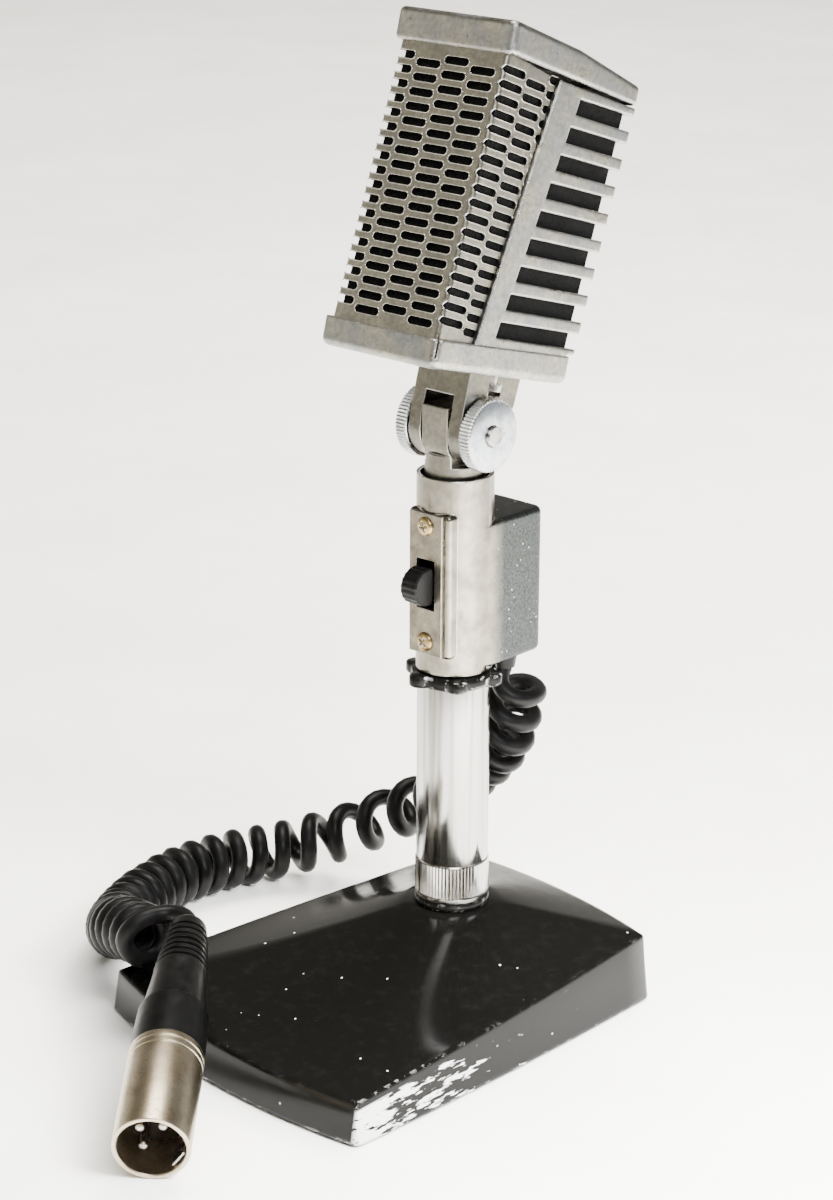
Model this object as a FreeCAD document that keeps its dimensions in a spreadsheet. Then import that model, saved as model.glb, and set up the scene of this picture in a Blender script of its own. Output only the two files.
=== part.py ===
import FreeCAD, Part
import Sketcher
import math
import os
from FreeCAD import Placement, Rotation, Vector

# Desktop mic stand: a tilting head on a knurled post over a cast base, with a slide
# switch in the body and a curly cord that ends in a cable connector.
# Millimetres. +Z up, X along the tilt pivot, -Y to the front, origin on the desk
# under the post's axis.

doc = FreeCAD.newDocument("DesktopMicStand")

X, Y, Z = Vector(1, 0, 0), Vector(0, 1, 0), Vector(0, 0, 1)

# ---------------------------------------------------------------- driving dimensions
DIMENSIONS = [
    ("base_front_half", 50.5), ("base_back_half", 38.9), ("base_front_y", 75.4),
    ("base_back_y", 36.7), ("base_front_bow", 6.6), ("base_back_bow", 4.0),
    ("base_side_bow", 1.2), ("base_corner", 1.8), ("base_rim_z", 0.6),
    ("base_edge_front_z", 11.4), ("base_edge_back_z", 18.9), ("base_draft", 1.8),
    ("base_wall", 2.8), ("base_turn", -6.1), ("foot_z", 26.9), ("foot_r", 12.0),
    ("feet_r", 5.0), ("sheet_t", 1.2),
    ("post_r", 9.5), ("post_bore_r", 8.0), ("collar_r", 9.75), ("rod_r", 4.0),
    ("ring_z", 27.0), ("collar_z", 29.2), ("tube_z", 39.9), ("tube_top", 89.3),
    ("star_r", 13.5), ("star_t", 3.0), ("star_lobe_r", 3.3),
    ("neck_r", 9.95), ("body_z", 93.2), ("pad_z", 98.2), ("pad_top", 136.8),
    ("neck_top", 145.3), ("pad_half", 7.15), ("pad_y", 10.1), ("pad_corner", 1.4),
    ("box_back", 23.9), ("box_z", 93.8), ("box_top", 133.0), ("box_corner", 3.0),
    ("cup_r", 9.0), ("stem_r", 7.85), ("gland_x", 2.0), ("gland_y", 17.6),
    ("plate_w", 11.0), ("plate_h", 37.6), ("plate_z", 117.7), ("plate_t", 1.0),
    ("window_w", 6.2), ("window_h", 13.2), ("screw_pitch", 30.8), ("plate_hole_r", 1.3),
    ("slider_r", 4.8), ("slider_w", 5.4), ("slider_reach", 6.4),
    ("pivot_z", 156.9), ("pivot_r", 2.5), ("bore_play", 0.05), ("tilt", 15.4),
    ("tongue_w", 8.7), ("tongue_half", 8.1), ("tongue_rise", 7.0), ("shoulder_z", 148.1),
    ("ear_half", 8.6), ("ear_t", 3.85), ("ear_r", 8.3), ("bracket_top", 14.9),
    ("bracket_front", 8.5), ("bracket_back", 10.6), ("web_low", 8.3),
    ("nut_r", 9.4), ("nut_t", 3.5), ("nut_x", 9.0), ("washer_t", 0.25),
    ("cap_half", 19.3), ("grille_half", 17.5), ("grille_t", 0.9),
    ("slot_l", 8.1), ("slot_h", 2.2), ("slot_pitch", 3.61), ("column_pitch", 8.8),
    ("frame_half", 18.6), ("frame_wall", 1.9), ("rib_pitch", 7.1), ("window_gap", 3.95),
    ("capsule_r", 13.0), ("capsule_t", 9.0),
    ("strand_d", 4.8), ("coil_d", 17.2),
    ("plug_r", 9.5), ("plug_bore_r", 8.3), ("shell_l", 32.7), ("collar_l", 16.0),
    ("boot_l", 36.0), ("pin_r", 1.2),
]

sheet = doc.addObject("Spreadsheet::Sheet", "Dimensions")
for row, (alias, value) in enumerate(DIMENSIONS, start=1):
    sheet.set("A%d" % row, alias)
    sheet.set("B%d" % row, str(value))
    sheet.setAlias("B%d" % row, alias)
doc.recompute()


def dim(alias):
    """Value of one driving dimension."""
    return float(sheet.get(alias))


# ---------------------------------------------------------------- modelling helpers
nodes = []


def bind(obj, **properties):
    """Tie an object's properties to the sheet, or set a plain number."""
    for name, value in properties.items():
        if isinstance(value, str):
            for alias in sorted((a for a, _ in DIMENSIONS), key=len, reverse=True):
                value = replace_word(value, alias, "Dimensions." + alias)
            obj.setExpression(name, value)
        else:
            setattr(obj, name, value)
    return obj


def replace_word(text, word, new):
    """Replace a whole word that has no sheet prefix yet."""
    out, i = "", 0
    while i < len(text):
        j = i + len(word)
        before = text[i - 1] if i else " "
        after = text[j] if j < len(text) else " "
        whole = not (before.isalnum() or before in "_.") and not (after.isalnum() or after == "_")
        if text[i:j] == word and whole:
            out += new
            i = j
        else:
            out += text[i]
            i += 1
    return out


def cylinder(name, radius, height, base=Vector(), along=Z):
    obj = doc.addObject("Part::Cylinder", name)
    bind(obj, Radius=radius, Height=height)
    obj.Placement = Placement(Vector(base), Rotation(Z, Vector(along)))
    return obj


def cone(name, r1, r2, height, base=Vector(), along=Z):
    obj = doc.addObject("Part::Cone", name)
    bind(obj, Radius1=r1, Radius2=r2, Height=height)
    obj.Placement = Placement(Vector(base), Rotation(Z, Vector(along)))
    return obj


def block(name, length, width, height, corner):
    obj = doc.addObject("Part::Box", name)
    bind(obj, Length=length, Width=width, Height=height)
    obj.Placement = Placement(Vector(corner), Rotation())
    return obj


def shaped(name, shape):
    """An object that only holds a computed shape."""
    obj = doc.addObject("Part::Feature", name)
    obj.Shape = shape
    return obj


def cut(name, base, *tools):
    obj = doc.addObject("Part::Cut", name)
    obj.Base = base
    obj.Tool = tools[0] if len(tools) == 1 else fuse(name + "_tools", *tools)
    return obj


def fuse(name, *parts):
    obj = doc.addObject("Part::MultiFuse", name)
    obj.Shapes = list(parts)
    return obj


def group(name, *parts):
    obj = doc.addObject("Part::Compound", name)
    obj.Links = list(parts)
    return obj


def node(label, obj, placement=None):
    """Register one finished sub-part under its own label."""
    obj.Label = label
    if placement is not None:
        obj.Placement = placement.multiply(obj.Placement)
    nodes.append(obj)
    return obj


def rounded(shape, radius, pick):
    """Fillet the edges that pick() accepts."""
    return shape.makeFillet(radius, [e for e in shape.Edges if pick(e)])


def runs_along(edge, axis, slack=0.2):
    """True for a straight edge within about slack of an axis."""
    if len(edge.Vertexes) != 2 or not isinstance(edge.Curve, Part.Line):
        return False
    d = edge.Vertexes[1].Point - edge.Vertexes[0].Point
    return abs(d.normalize().dot(axis)) > 1 - slack


def mid(edge):
    return edge.valueAt((edge.FirstParameter + edge.LastParameter) / 2)


def prism_x(profile, x0, x1):
    """Solid from a closed (y, z) profile, pulled from x0 to x1."""
    points = [Vector(x0, y, z) for y, z in profile]
    return Part.Face(Part.makePolygon(points + points[:1])).extrude(Vector(x1 - x0, 0, 0))


def prism_z(profile, z0, z1):
    """Solid from a closed (x, y) profile, pulled from z0 to z1."""
    points = [Vector(x, y, z0) for x, y in profile]
    return Part.Face(Part.makePolygon(points + points[:1])).extrude(Vector(0, 0, z1 - z0))


# ---------------------------------------------------------------- base casting
def outline(inset):
    """Eight edges round the base as (start, middle, end) points: side, corner, side..."""
    fw, bw = dim("base_front_half") - inset, dim("base_back_half") - inset
    fy, by = dim("base_front_y") - inset, dim("base_back_y") - inset
    corners = [Vector(-fw, -fy, 0), Vector(fw, -fy, 0), Vector(bw, by, 0), Vector(-bw, by, 0)]
    bows = [dim("base_front_bow"), dim("base_side_bow"), dim("base_back_bow"),
            dim("base_side_bow")]
    sides = []
    for i, bow in enumerate(bows):
        a, b = corners[i], corners[(i + 1) % 4]
        out = (b - a).cross(Z).normalize()
        s = dim("base_corner") / (b - a).Length
        sides.append([a + (b - a) * u + out * (bow * 4 * u * (1 - u)) for u in (s, 0.5, 1 - s)])
    edges = []
    for i, side in enumerate(sides):
        after, corner = sides[(i + 1) % 4], corners[(i + 1) % 4]
        chord = (side[2] + after[0]) * 0.5
        edges.append(side)
        edges.append([side[2], corner + (chord - corner) * 0.586, after[0]])
    return edges


def section(edges, lift):
    """Closed wire from three-point arcs after moving every point with lift()."""
    arcs = []
    for a, m, b in edges:
        arcs.append(Part.Arc(lift(a), lift(m), lift(b)).toShape())
    return Part.Wire(arcs)


def base_solid(inset, drop):
    """Skirt with draft, then four slightly hollow facets up to the post's foot."""
    front, back = dim("base_edge_front_z") - drop, dim("base_edge_back_z") - drop
    y0, y1 = -dim("base_front_y"), dim("base_back_y")
    rim = dim("base_rim_z") - (1.0 if drop else 0.0)
    top, foot_r = dim("foot_z") - drop, dim("foot_r") - inset * 0.5

    def edge_z(p):
        return front + (back - front) * (p.y - y0) / (y1 - y0)

    bottom = section(outline(inset), lambda p: Vector(p.x, p.y, rim))
    upper = outline(inset + dim("base_draft"))
    brim = section(upper, lambda p: Vector(p.x, p.y, edge_z(p)))
    skirt = Part.makeLoft([bottom, brim], True, True)

    def level(t):
        def lift(p):
            u = (p.y - y0) / (y1 - y0)
            power = 1.45 - 0.45 * u
            ring = Vector(p.x, p.y, 0).normalize() * foot_r
            z = edge_z(p) + (top - edge_z(p)) * t ** power
            return Vector(p.x * (1 - t) + ring.x * t, p.y * (1 - t) + ring.y * t, z)
        return section(upper, lift)

    tent = Part.makeLoft([brim] + [level(t) for t in (0.25, 0.5, 0.75, 1.0)], True, False)
    return skirt.fuse(tent).removeSplitter()


BASE = Placement(Vector(), Rotation(Z, dim("base_turn")))
boss_at = [(-34, -58), (34, -58), (26, 22), (-26, 22)]
hollow = base_solid(dim("base_wall"), dim("base_wall"))
bosses = [Part.makeCylinder(4.2, 30, Vector(x, y, 2.2)) for x, y in boss_at]
bosses.append(Part.makeCylinder(9.0, 24, Vector(0, 0, 8.0)))
inner = bosses[0].multiFuse(bosses[1:]).common(base_solid(0.4, 0.4))
casting = base_solid(0, 0).cut(hollow).fuse(inner)
drills = [Part.makeCylinder(1.3, 9, Vector(x, y, 0)) for x, y in boss_at]
drills.append(Part.makeCylinder(dim("rod_r") + 0.1, 40, Vector()))
node("base_shell", shaped("BaseShell", casting.cut(drills[0].multiFuse(drills[1:]))), BASE)

# Steel closing sheet under the base: one drawn outline, pulled to its thickness.
plate_body = doc.addObject("PartDesign::Body", "BasePlate")
xy_plane = [f for f in plate_body.Origin.OriginFeatures if f.Role == "XY_Plane"][0]
plate_sketch = plate_body.newObject("Sketcher::SketchObject", "BasePlateOutline")
plate_sketch.AttachmentSupport = (xy_plane, [""])
plate_sketch.MapMode = "FlatFace"
inset = dim("base_wall") + 1.5
quad = [(-dim("base_front_half") + inset, -dim("base_front_y") + inset),
        (dim("base_front_half") - inset, -dim("base_front_y") + inset),
        (dim("base_back_half") - inset, dim("base_back_y") - inset),
        (-dim("base_back_half") + inset, dim("base_back_y") - inset)]
for i in range(4):
    a, b = quad[i], quad[(i + 1) % 4]
    plate_sketch.addGeometry(Part.LineSegment(Vector(a[0], a[1], 0), Vector(b[0], b[1], 0)))
for i in range(4):
    plate_sketch.addConstraint(Sketcher.Constraint("Coincident", i, 2, (i + 1) % 4, 1))
for i, (x, y) in enumerate(boss_at):
    plate_sketch.addGeometry(Part.Circle(Vector(x, y, 0), Z, 1.6))
plate_pad = plate_body.newObject("PartDesign::Pad", "BasePlatePad")
plate_pad.Profile = plate_sketch
bind(plate_pad, Length="sheet_t")
plate_body.Tip = plate_pad
node("base_plate", plate_body, BASE.multiply(Placement(Vector(0, 0, 0.95), Rotation())))

feet = [cylinder("Foot", "feet_r", 0.9, Vector(x * 1.0, y + (9 if y < 0 else -9), 0))
        for x, y in boss_at]
feet.append(cylinder("Foot", "feet_r", 0.9))
node("base_feet", group("BaseFeet", *feet), BASE)
screws = [fuse("SheetScrew", cylinder("SheetScrewHead", 2.6, 0.7, Vector(x, y, 0.2)),
               cylinder("SheetScrewShank", 1.25, 6.6, Vector(x, y, 0.8))) for x, y in boss_at]
node("base_screws", group("BaseScrews", *screws), BASE)

# ---------------------------------------------------------------- post
rod_low, rod_top = 4.0, dim("body_z") + 6.5
node("post_rod", cylinder("PostRod", "rod_r", rod_top - rod_low, Vector(0, 0, rod_low)))
hexagon = [(7.0 * math.cos(math.radians(60 * i)), 7.0 * math.sin(math.radians(60 * i)))
           for i in range(6)]
nut_blank = shaped("PostNutBlank", prism_z(hexagon, 4.6, 7.0))
node("post_nut", cut("PostNut", nut_blank, cylinder("PostNutBore", "rod_r + 0.02", 8, (0, 0, 2))))
node("post_washer", cut("PostWasher", cylinder("PostWasherDisc", 8.5, 0.8, (0, 0, 7.1)),
                        cylinder("PostWasherBore", "rod_r + 0.15", 4, (0, 0, 5))))
node("foot_ring", cut("FootRing", cylinder("FootRingDisc", "collar_r + 0.1", 2.1, (0, 0, dim("ring_z"))),
                      cylinder("FootRingBore", "rod_r + 0.3", 6, (0, 0, 25))))
collar_h = dim("tube_z") - dim("collar_z") - 0.15
collar_blank = fuse("CollarBlank",
                    cylinder("CollarLip", "collar_r - 0.15", 1.3, (0, 0, dim("collar_z"))),
                    cylinder("CollarGrip", "collar_r", collar_h - 1.3, (0, 0, dim("collar_z") + 1.3)))
node("knurled_collar", cut("KnurledCollar", collar_blank,
                           cylinder("CollarBore", "rod_r + 0.3", 20, (0, 0, 25))))
node("post_tube", cut("PostTube",
                      cylinder("PostTubeWall", "post_r", "tube_top - tube_z", (0, 0, dim("tube_z"))),
                      cylinder("PostTubeBore", "post_bore_r", 60, (0, 0, dim("tube_z") - 3))))

# Thin lock ring with rounded lobes.
star_z = dim("tube_top") + 0.3
lobes = [cylinder("StarDisc", "star_r - 2.4", "star_t", (0, 0, star_z))]
for i in range(6):
    a = math.radians(60 * i + 17)
    reach = dim("star_r") - dim("star_lobe_r")
    lobes.append(cylinder("StarLobe", "star_lobe_r", "star_t",
                          (reach * math.cos(a), reach * math.sin(a), star_z)))
node("star_lock_ring", cut("StarLockRing", fuse("StarBlank", *lobes),
                           cylinder("StarBore", "rod_r + 0.3", 8, (0, 0, star_z - 2))))

# ---------------------------------------------------------------- switch body
neck = Part.makeCylinder(dim("neck_r"), dim("neck_top") - dim("body_z"), Vector(0, 0, dim("body_z")))
pad = prism_z([(-dim("pad_half"), -dim("pad_y")), (dim("pad_half"), -dim("pad_y")),
               (dim("pad_half"), 0), (-dim("pad_half"), 0)], dim("pad_z"), dim("pad_top"))
pad = rounded(pad, dim("pad_corner"), lambda e: mid(e).y < -1)
r = dim("neck_r")
crate = prism_z([(-r, 0), (r, 0), (r, dim("box_back")), (-r, dim("box_back"))],
                dim("box_z"), dim("box_top"))
crate = rounded(crate, dim("box_corner"), lambda e: runs_along(e, Z) and mid(e).y > 5)
crate = rounded(crate, 1.6, lambda e: mid(e).y > 4 and
                (mid(e).z > dim("box_top") - 0.1 or mid(e).z < dim("box_z") + 0.1))
casting = neck.multiFuse([pad, crate]).removeSplitter()
room = Part.makeBox(12.4, dim("box_back") - 3.4, 27.0, Vector(-6.2, 1.2, 100.5))
front_slot = Part.makeBox(dim("window_w") + 1.4, 12.0, dim("window_h") + 6.0,
                          Vector(-dim("window_w") / 2 - 0.7, -dim("pad_y") - 0.5,
                                 dim("plate_z") - dim("window_h") / 2 - 3.0))
back_port = Part.makeBox(12.4, 6.0, 27.0, Vector(-6.2, dim("box_back") - 4.0, 100.5))
cup = Part.makeCylinder(dim("cup_r"), 8, Vector(0, 0, dim("neck_top") - 4.5))
stem_hole = Part.makeCylinder(dim("stem_r") + 0.02, 10, Vector(0, 0, dim("neck_top") - 11.3))
rod_hole = Part.makeCylinder(dim("rod_r") + 0.02, 8, Vector(0, 0, dim("body_z") - 1))
cord_hole = Part.makeCylinder(dim("strand_d") / 2 + 0.6, 12,
                              Vector(dim("gland_x"), dim("gland_y"), 90))
screw_holes = [Part.makeCylinder(1.05, 6, Vector(0, -dim("pad_y") - 1, dim("plate_z") + s), Y)
               for s in (dim("screw_pitch") / 2, -dim("screw_pitch") / 2)]
casting = casting.cut(room.multiFuse([front_slot, back_port, cup, stem_hole, rod_hole, cord_hole]
                                     + screw_holes))
node("switch_body", shaped("SwitchBody", casting))

cover = Part.makeBox(12.2, 1.4, 26.8, Vector(-6.1, dim("box_back") - 1.5, 100.6))
cover = rounded(cover, 0.5, lambda e: mid(e).y > dim("box_back") - 0.2)
cover_holes = [Part.makeCylinder(0.9, 4, Vector(0, dim("box_back") - 3, z), Y) for z in (103.5, 124.5)]
node("rear_cover", shaped("RearCover", cover.cut(cover_holes[0].fuse(cover_holes[1]))))
node("rear_cover_screws", group("RearCoverScrews", *[
    fuse("CoverScrew", cylinder("CoverScrewHead", 1.7, 0.7, (0, dim("box_back") - 0.1, z), Y),
         cylinder("CoverScrewShank", 0.85, 4.4, (0, dim("box_back") - 4.4, z), Y))
    for z in (103.5, 124.5)]))
node("transformer", block("Transformer", 11, 9, 18, (-5.5, 9.0, 104.0)))

# Front plate of the switch: outline, slider window and two screw holes.
plate_body = doc.addObject("PartDesign::Body", "SwitchPlate")
xz_plane = [f for f in plate_body.Origin.OriginFeatures if f.Role == "XZ_Plane"][0]


def rectangle(sketch, width, height):
    """A centred rectangle whose size follows the sheet."""
    w, h = dim(width) / 2, dim(height) / 2
    ends = [(-w, -h), (w, -h), (w, h), (-w, h)]
    for i in range(4):
        a, b = ends[i], ends[(i + 1) % 4]
        sketch.addGeometry(Part.LineSegment(Vector(a[0], a[1], 0), Vector(b[0], b[1], 0)))
    for i in range(4):
        sketch.addConstraint(Sketcher.Constraint("Coincident", i, 2, (i + 1) % 4, 1))
        sketch.addConstraint(Sketcher.Constraint("Horizontal" if i % 2 == 0 else "Vertical", i))
    sketch.addConstraint(Sketcher.Constraint("Symmetric", 0, 1, 2, 1, -1, 1))
    wide = sketch.addConstraint(Sketcher.Constraint("DistanceX", 0, 1, 0, 2, 2 * w))
    high = sketch.addConstraint(Sketcher.Constraint("DistanceY", 1, 1, 1, 2, 2 * h))
    bind(sketch, **{"Constraints[%d]" % wide: width, "Constraints[%d]" % high: height})


def plane_sketch(body, plane, name):
    sketch = body.newObject("Sketcher::SketchObject", name)
    sketch.AttachmentSupport = (plane, [""])
    sketch.MapMode = "FlatFace"
    return sketch


face_sketch = plane_sketch(plate_body, xz_plane, "SwitchPlateOutline")
rectangle(face_sketch, "plate_w", "plate_h")
face_pad = plate_body.newObject("PartDesign::Pad", "SwitchPlatePad")
face_pad.Profile = face_sketch
bind(face_pad, Length="plate_t")
doc.recompute()
opening = plane_sketch(plate_body, xz_plane, "SwitchPlateOpenings")
rectangle(opening, "window_w", "window_h")
for s in (1, -1):
    opening.addGeometry(Part.Circle(Vector(0, s * dim("screw_pitch") / 2, 0), Z,
                                    dim("plate_hole_r")))
face_pocket = plate_body.newObject("PartDesign::Pocket", "SwitchPlateWindow")
face_pocket.Profile = opening
face_pocket.Type = 1
face_pocket.Midplane = True
plate_body.Tip = face_pocket
node("switch_plate", plate_body,
     Placement(Vector(0, -dim("pad_y") - 0.02, dim("plate_z")), Rotation()))

front_y = -dim("pad_y") - dim("plate_t") - 0.02
node("plate_screws", group("PlateScrews", *[
    fuse("PlateScrew",
         cone("PlateScrewHead", 2.5, 1.7, 1.0, (0, front_y - 0.01, dim("plate_z") + s), (0, -1, 0)),
         cylinder("PlateScrewShank", 1.0, 5.0, (0, front_y - 0.4, dim("plate_z") + s), Y))
    for s in (dim("screw_pitch") / 2, -dim("screw_pitch") / 2)]))

frame_z = dim("plate_z") - dim("window_h") / 2 - 2.6
frame_block = block("SwitchFrameBlock", 7.2, 6.4, 18.4, (-3.6, -dim("pad_y") + 0.1, frame_z))
frame_slot = block("SwitchFrameSlot", 5.9, 6.0, 13.0,
                   (-2.95, -dim("pad_y") - 1.0, dim("plate_z") - 6.5))
node("switch_frame", cut("SwitchFrame", frame_block, frame_slot))

# Half-round slide knob on a short shank through the window.
knob_y = front_y - 0.3
half_round = Part.makeCylinder(dim("slider_r"), dim("slider_w"),
                               Vector(-dim("slider_w") / 2, knob_y - dim("slider_reach")
                                      + dim("slider_r"), dim("plate_z")), X)
root = Part.makeBox(dim("slider_w"), dim("slider_reach") - dim("slider_r"), 2 * dim("slider_r"),
                    Vector(-dim("slider_w") / 2, knob_y - dim("slider_reach") + dim("slider_r"),
                           dim("plate_z") - dim("slider_r")))
knob = half_round.fuse(root).cut(Part.makeBox(20, 20, 30, Vector(-10, knob_y, dim("plate_z") - 15)))
shank = Part.makeBox(4.6, 5.2, 6.0, Vector(-2.3, knob_y - 0.5, dim("plate_z") - 3.0))
node("switch_slider", shaped("SwitchSlider", knob.fuse(shank).removeSplitter()))

gland_x, gland_y = dim("gland_x"), dim("gland_y")
node("cord_gland", cut("CordGland", fuse(
    "GlandBody", cone("GlandTaper", 2.9, 3.8, 5.0, (gland_x, gland_y, dim("box_z") - 5.1)),
    cylinder("GlandNeck", 2.95, 2.4, (gland_x, gland_y, dim("box_z") - 0.4))),
    cylinder("GlandBore", "strand_d / 2 + 0.02", 5.0, (gland_x, gland_y, dim("box_z") - 6.0))))

# ---------------------------------------------------------------- tilt joint
tongue_low = dim("neck_top") - 11.2
half_t, half_w = dim("tongue_half"), dim("tongue_w") / 2
bar_foot, bar_top = dim("pivot_z") - 5.9, dim("pivot_z") + dim("tongue_rise")
stem = Part.makeCylinder(dim("stem_r"), bar_foot - tongue_low, Vector(0, 0, tongue_low))
flats = [Part.makeBox(20, 30, 20, Vector(x, -15, dim("shoulder_z")))
         for x in (half_w, -half_w - 20)]
bar = prism_x([(-half_t, bar_top), (-half_t, bar_foot + 2.4), (-half_t + 1.3, bar_foot - 0.1),
               (half_t - 1.3, bar_foot - 0.1), (half_t, bar_foot + 2.4), (half_t, bar_top)],
              -half_w, half_w)
bar = rounded(bar, 0.35, lambda e: mid(e).z > bar_foot + 3)
eye = Part.makeCylinder(dim("pivot_r") + 0.02, 30, Vector(-15, 0, dim("pivot_z")), X)
node("tilt_tongue", shaped("TiltTongue", stem.cut(flats[0].fuse(flats[1])).fuse(bar).cut(eye)))

bolt_half = dim("nut_x") + dim("nut_t") + 1.0
node("pivot_bolt", cylinder("PivotBolt", "pivot_r", 2 * bolt_half,
                            (-bolt_half, 0, dim("pivot_z")), X))


def thumb_nut(name, side):
    start = Vector(side * dim("nut_x"), 0, dim("pivot_z"))
    disc = cylinder(name + "Disc", "nut_r", "nut_t", start, X * side)
    bore = cylinder(name + "Bore", "pivot_r + bore_play", 8, start - X * side * 2, X * side)
    return cut(name, disc, bore)


node("thumb_nut_right", thumb_nut("ThumbNutRight", 1))
node("thumb_nut_left", thumb_nut("ThumbNutLeft", -1))

HEAD = Placement(Vector(0, 0, dim("pivot_z")), Rotation(X, -dim("tilt")))

# Clevis under the head: two ears, a front web with an open window, a top flange.
top, low_r = dim("bracket_top"), dim("ear_r")
side_profile = Part.makeCylinder(low_r, 2 * dim("ear_half"), Vector(-dim("ear_half"), 0, 0), X)
upper = prism_x([(-dim("bracket_front"), 1.0), (-low_r, 0), (low_r, 0), (dim("bracket_back"), 8.0),
                 (dim("bracket_back") + 0.6, top), (-dim("bracket_front"), top)],
                -dim("ear_half"), dim("ear_half"))
gap = dim("ear_half") - dim("ear_t")
throat = Part.makeBox(2 * gap, 40, 30 + top - 2.6, Vector(-gap, -dim("bracket_front") + 1.3, -30))
window = Part.makeBox(2 * gap, 6, 30 + dim("web_low"), Vector(-gap, -dim("bracket_front") - 2, -30))
pin_hole = Part.makeCylinder(dim("pivot_r") + dim("bore_play"), 40, Vector(-20, 0, 0), X)
notches = [Part.makeCylinder(2.7, 3.0, Vector(s * (dim("ear_half") - 1.2), 2.0, top - 5.4))
           for s in (1, -1)]
threads = [Part.makeCylinder(1.25, 12, Vector(s * (dim("ear_half") - 1.2), 2.0, top - 6))
           for s in (1, -1)]
clevis = side_profile.fuse(upper).cut(
    throat.multiFuse([window, pin_hole] + notches + threads)).removeSplitter()
node("head_bracket", shaped("HeadBracket", clevis), HEAD)
node("bracket_screws", group("BracketScrews", *[
    fuse("BracketScrew",
         cylinder("BracketScrewHead", 2.4, 1.7, (s * (dim("ear_half") - 1.2), 2.0, top - 4.1)),
         cylinder("BracketScrewShank", 1.2, 6.6, (s * (dim("ear_half") - 1.2), 2.0, top - 3.0)))
    for s in (1, -1)]), HEAD)

# ---------------------------------------------------------------- head castings
cap = dim("cap_half")
FLOOR, TRAY_TOP = 15.0, 22.3


def cap_solid(profile, half, corner, soft):
    solid = prism_x(profile, -half, half)
    solid = rounded(solid, corner, lambda e: runs_along(e, Z, 0.1))
    return rounded(solid, soft[0], soft[1])


tray_profile = [(-35.3, FLOOR), (16.9, FLOOR + 0.5), (17.0, TRAY_TOP + 0.3), (-35.3, TRAY_TOP)]
tray = cap_solid(tray_profile, cap, 2.4, (2.2, lambda e: mid(e).z < FLOOR + 0.6))
tray_room = prism_x([(-34.6, 17.6), (15.9, 17.6), (15.9, 30), (-34.6, 30)],
                    -dim("frame_half") - 0.2, dim("frame_half") + 0.2)
tie_at = [(s * 12.5, v) for v in (-20.0, 10.0) for s in (1, -1)]
tray = tray.cut(tray_room)
tray = tray.cut(Part.makeCompound(
    [Part.makeCylinder(1.25, 8, Vector(s * (dim("ear_half") - 1.2), 2.0, 10)) for s in (1, -1)]))
node("head_bottom_cap", shaped("HeadBottomCap", tray), HEAD)

lid_profile = [(-28.7, 91.8), (23.7, 86.7), (24.0, 91.7), (-2.0, 97.0), (-28.7, 100.1)]
lid = cap_solid(lid_profile, cap + 0.15, 2.4,
                (1.4, lambda e: mid(e).z > 91.0 and not runs_along(e, Z, 0.1) and
                 (abs(mid(e).x) > 10 or abs(mid(e).y) > 15)))
slope = (86.7 - 91.8) / (23.7 + 28.7)


def lid_under(v):
    return 91.8 + slope * (v + 28.7)


lid_room = prism_x([(-27.5, lid_under(-27.5) - 4), (22.3, lid_under(22.3) - 4),
                    (22.3, lid_under(22.3) + 2.6), (-27.5, lid_under(-27.5) + 2.6)],
                   -dim("frame_half") - 0.2, dim("frame_half") + 0.2)
node("head_top_cap", shaped("HeadTopCap", lid.cut(lid_room)), HEAD)

# Front grille: a sheet bent round three sides, with staggered oblong slots.
LOW, HIGH = 17.7, 93.0
front_low, front_high = -34.1, -27.4          # front plane at the two caps
bar_low, bar_high = -20.9, -6.6               # where the rear frame's bars start


def along(w, low, high):
    """Depth of a sloping edge at height w, given at the two caps."""
    return low + (high - low) * (w - 20.0) / (92.0 - 20.0)


def sheet_shell(half, inset):
    profile = [(along(LOW, front_low, front_high) + inset, LOW),
               (along(LOW, bar_low, bar_high) - 0.3, LOW),
               (along(88.8, bar_low, bar_high) - 0.3, 88.8),
               (along(92.4, front_low, front_high) + inset, 92.4)]
    if inset:
        profile = [(profile[0][0], LOW - 3), (profile[1][0] + 9, LOW - 3),
                   (profile[2][0] + 9, 99), (along(99, front_low, front_high) + inset, 99)]
    return prism_x(profile, -half + inset, half - inset)


sheet_body = sheet_shell(dim("grille_half"), 0)
sheet_body = rounded(sheet_body, 1.3, lambda e: runs_along(e, Z, 0.15) and mid(e).y < -20)
sheet_body = sheet_body.cut(sheet_shell(dim("grille_half"), dim("grille_t")))


def slot_tool(centre, run, through, depth):
    """Oblong cutter: long way along run, cutting along through."""
    half = (dim("slot_l") - dim("slot_h")) / 2
    radius = dim("slot_h") / 2
    up = run.cross(through)
    start = centre - through * (depth / 2)
    a, b = start + run * half, start - run * half
    wire = Part.Wire([
        Part.LineSegment(b + up * radius, a + up * radius).toShape(),
        Part.Arc(a + up * radius, a + run * radius, a - up * radius).toShape(),
        Part.LineSegment(a - up * radius, b - up * radius).toShape(),
        Part.Arc(b - up * radius, b - run * radius, b + up * radius).toShape()])
    return Part.Face(wire).extrude(through * depth)


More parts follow.
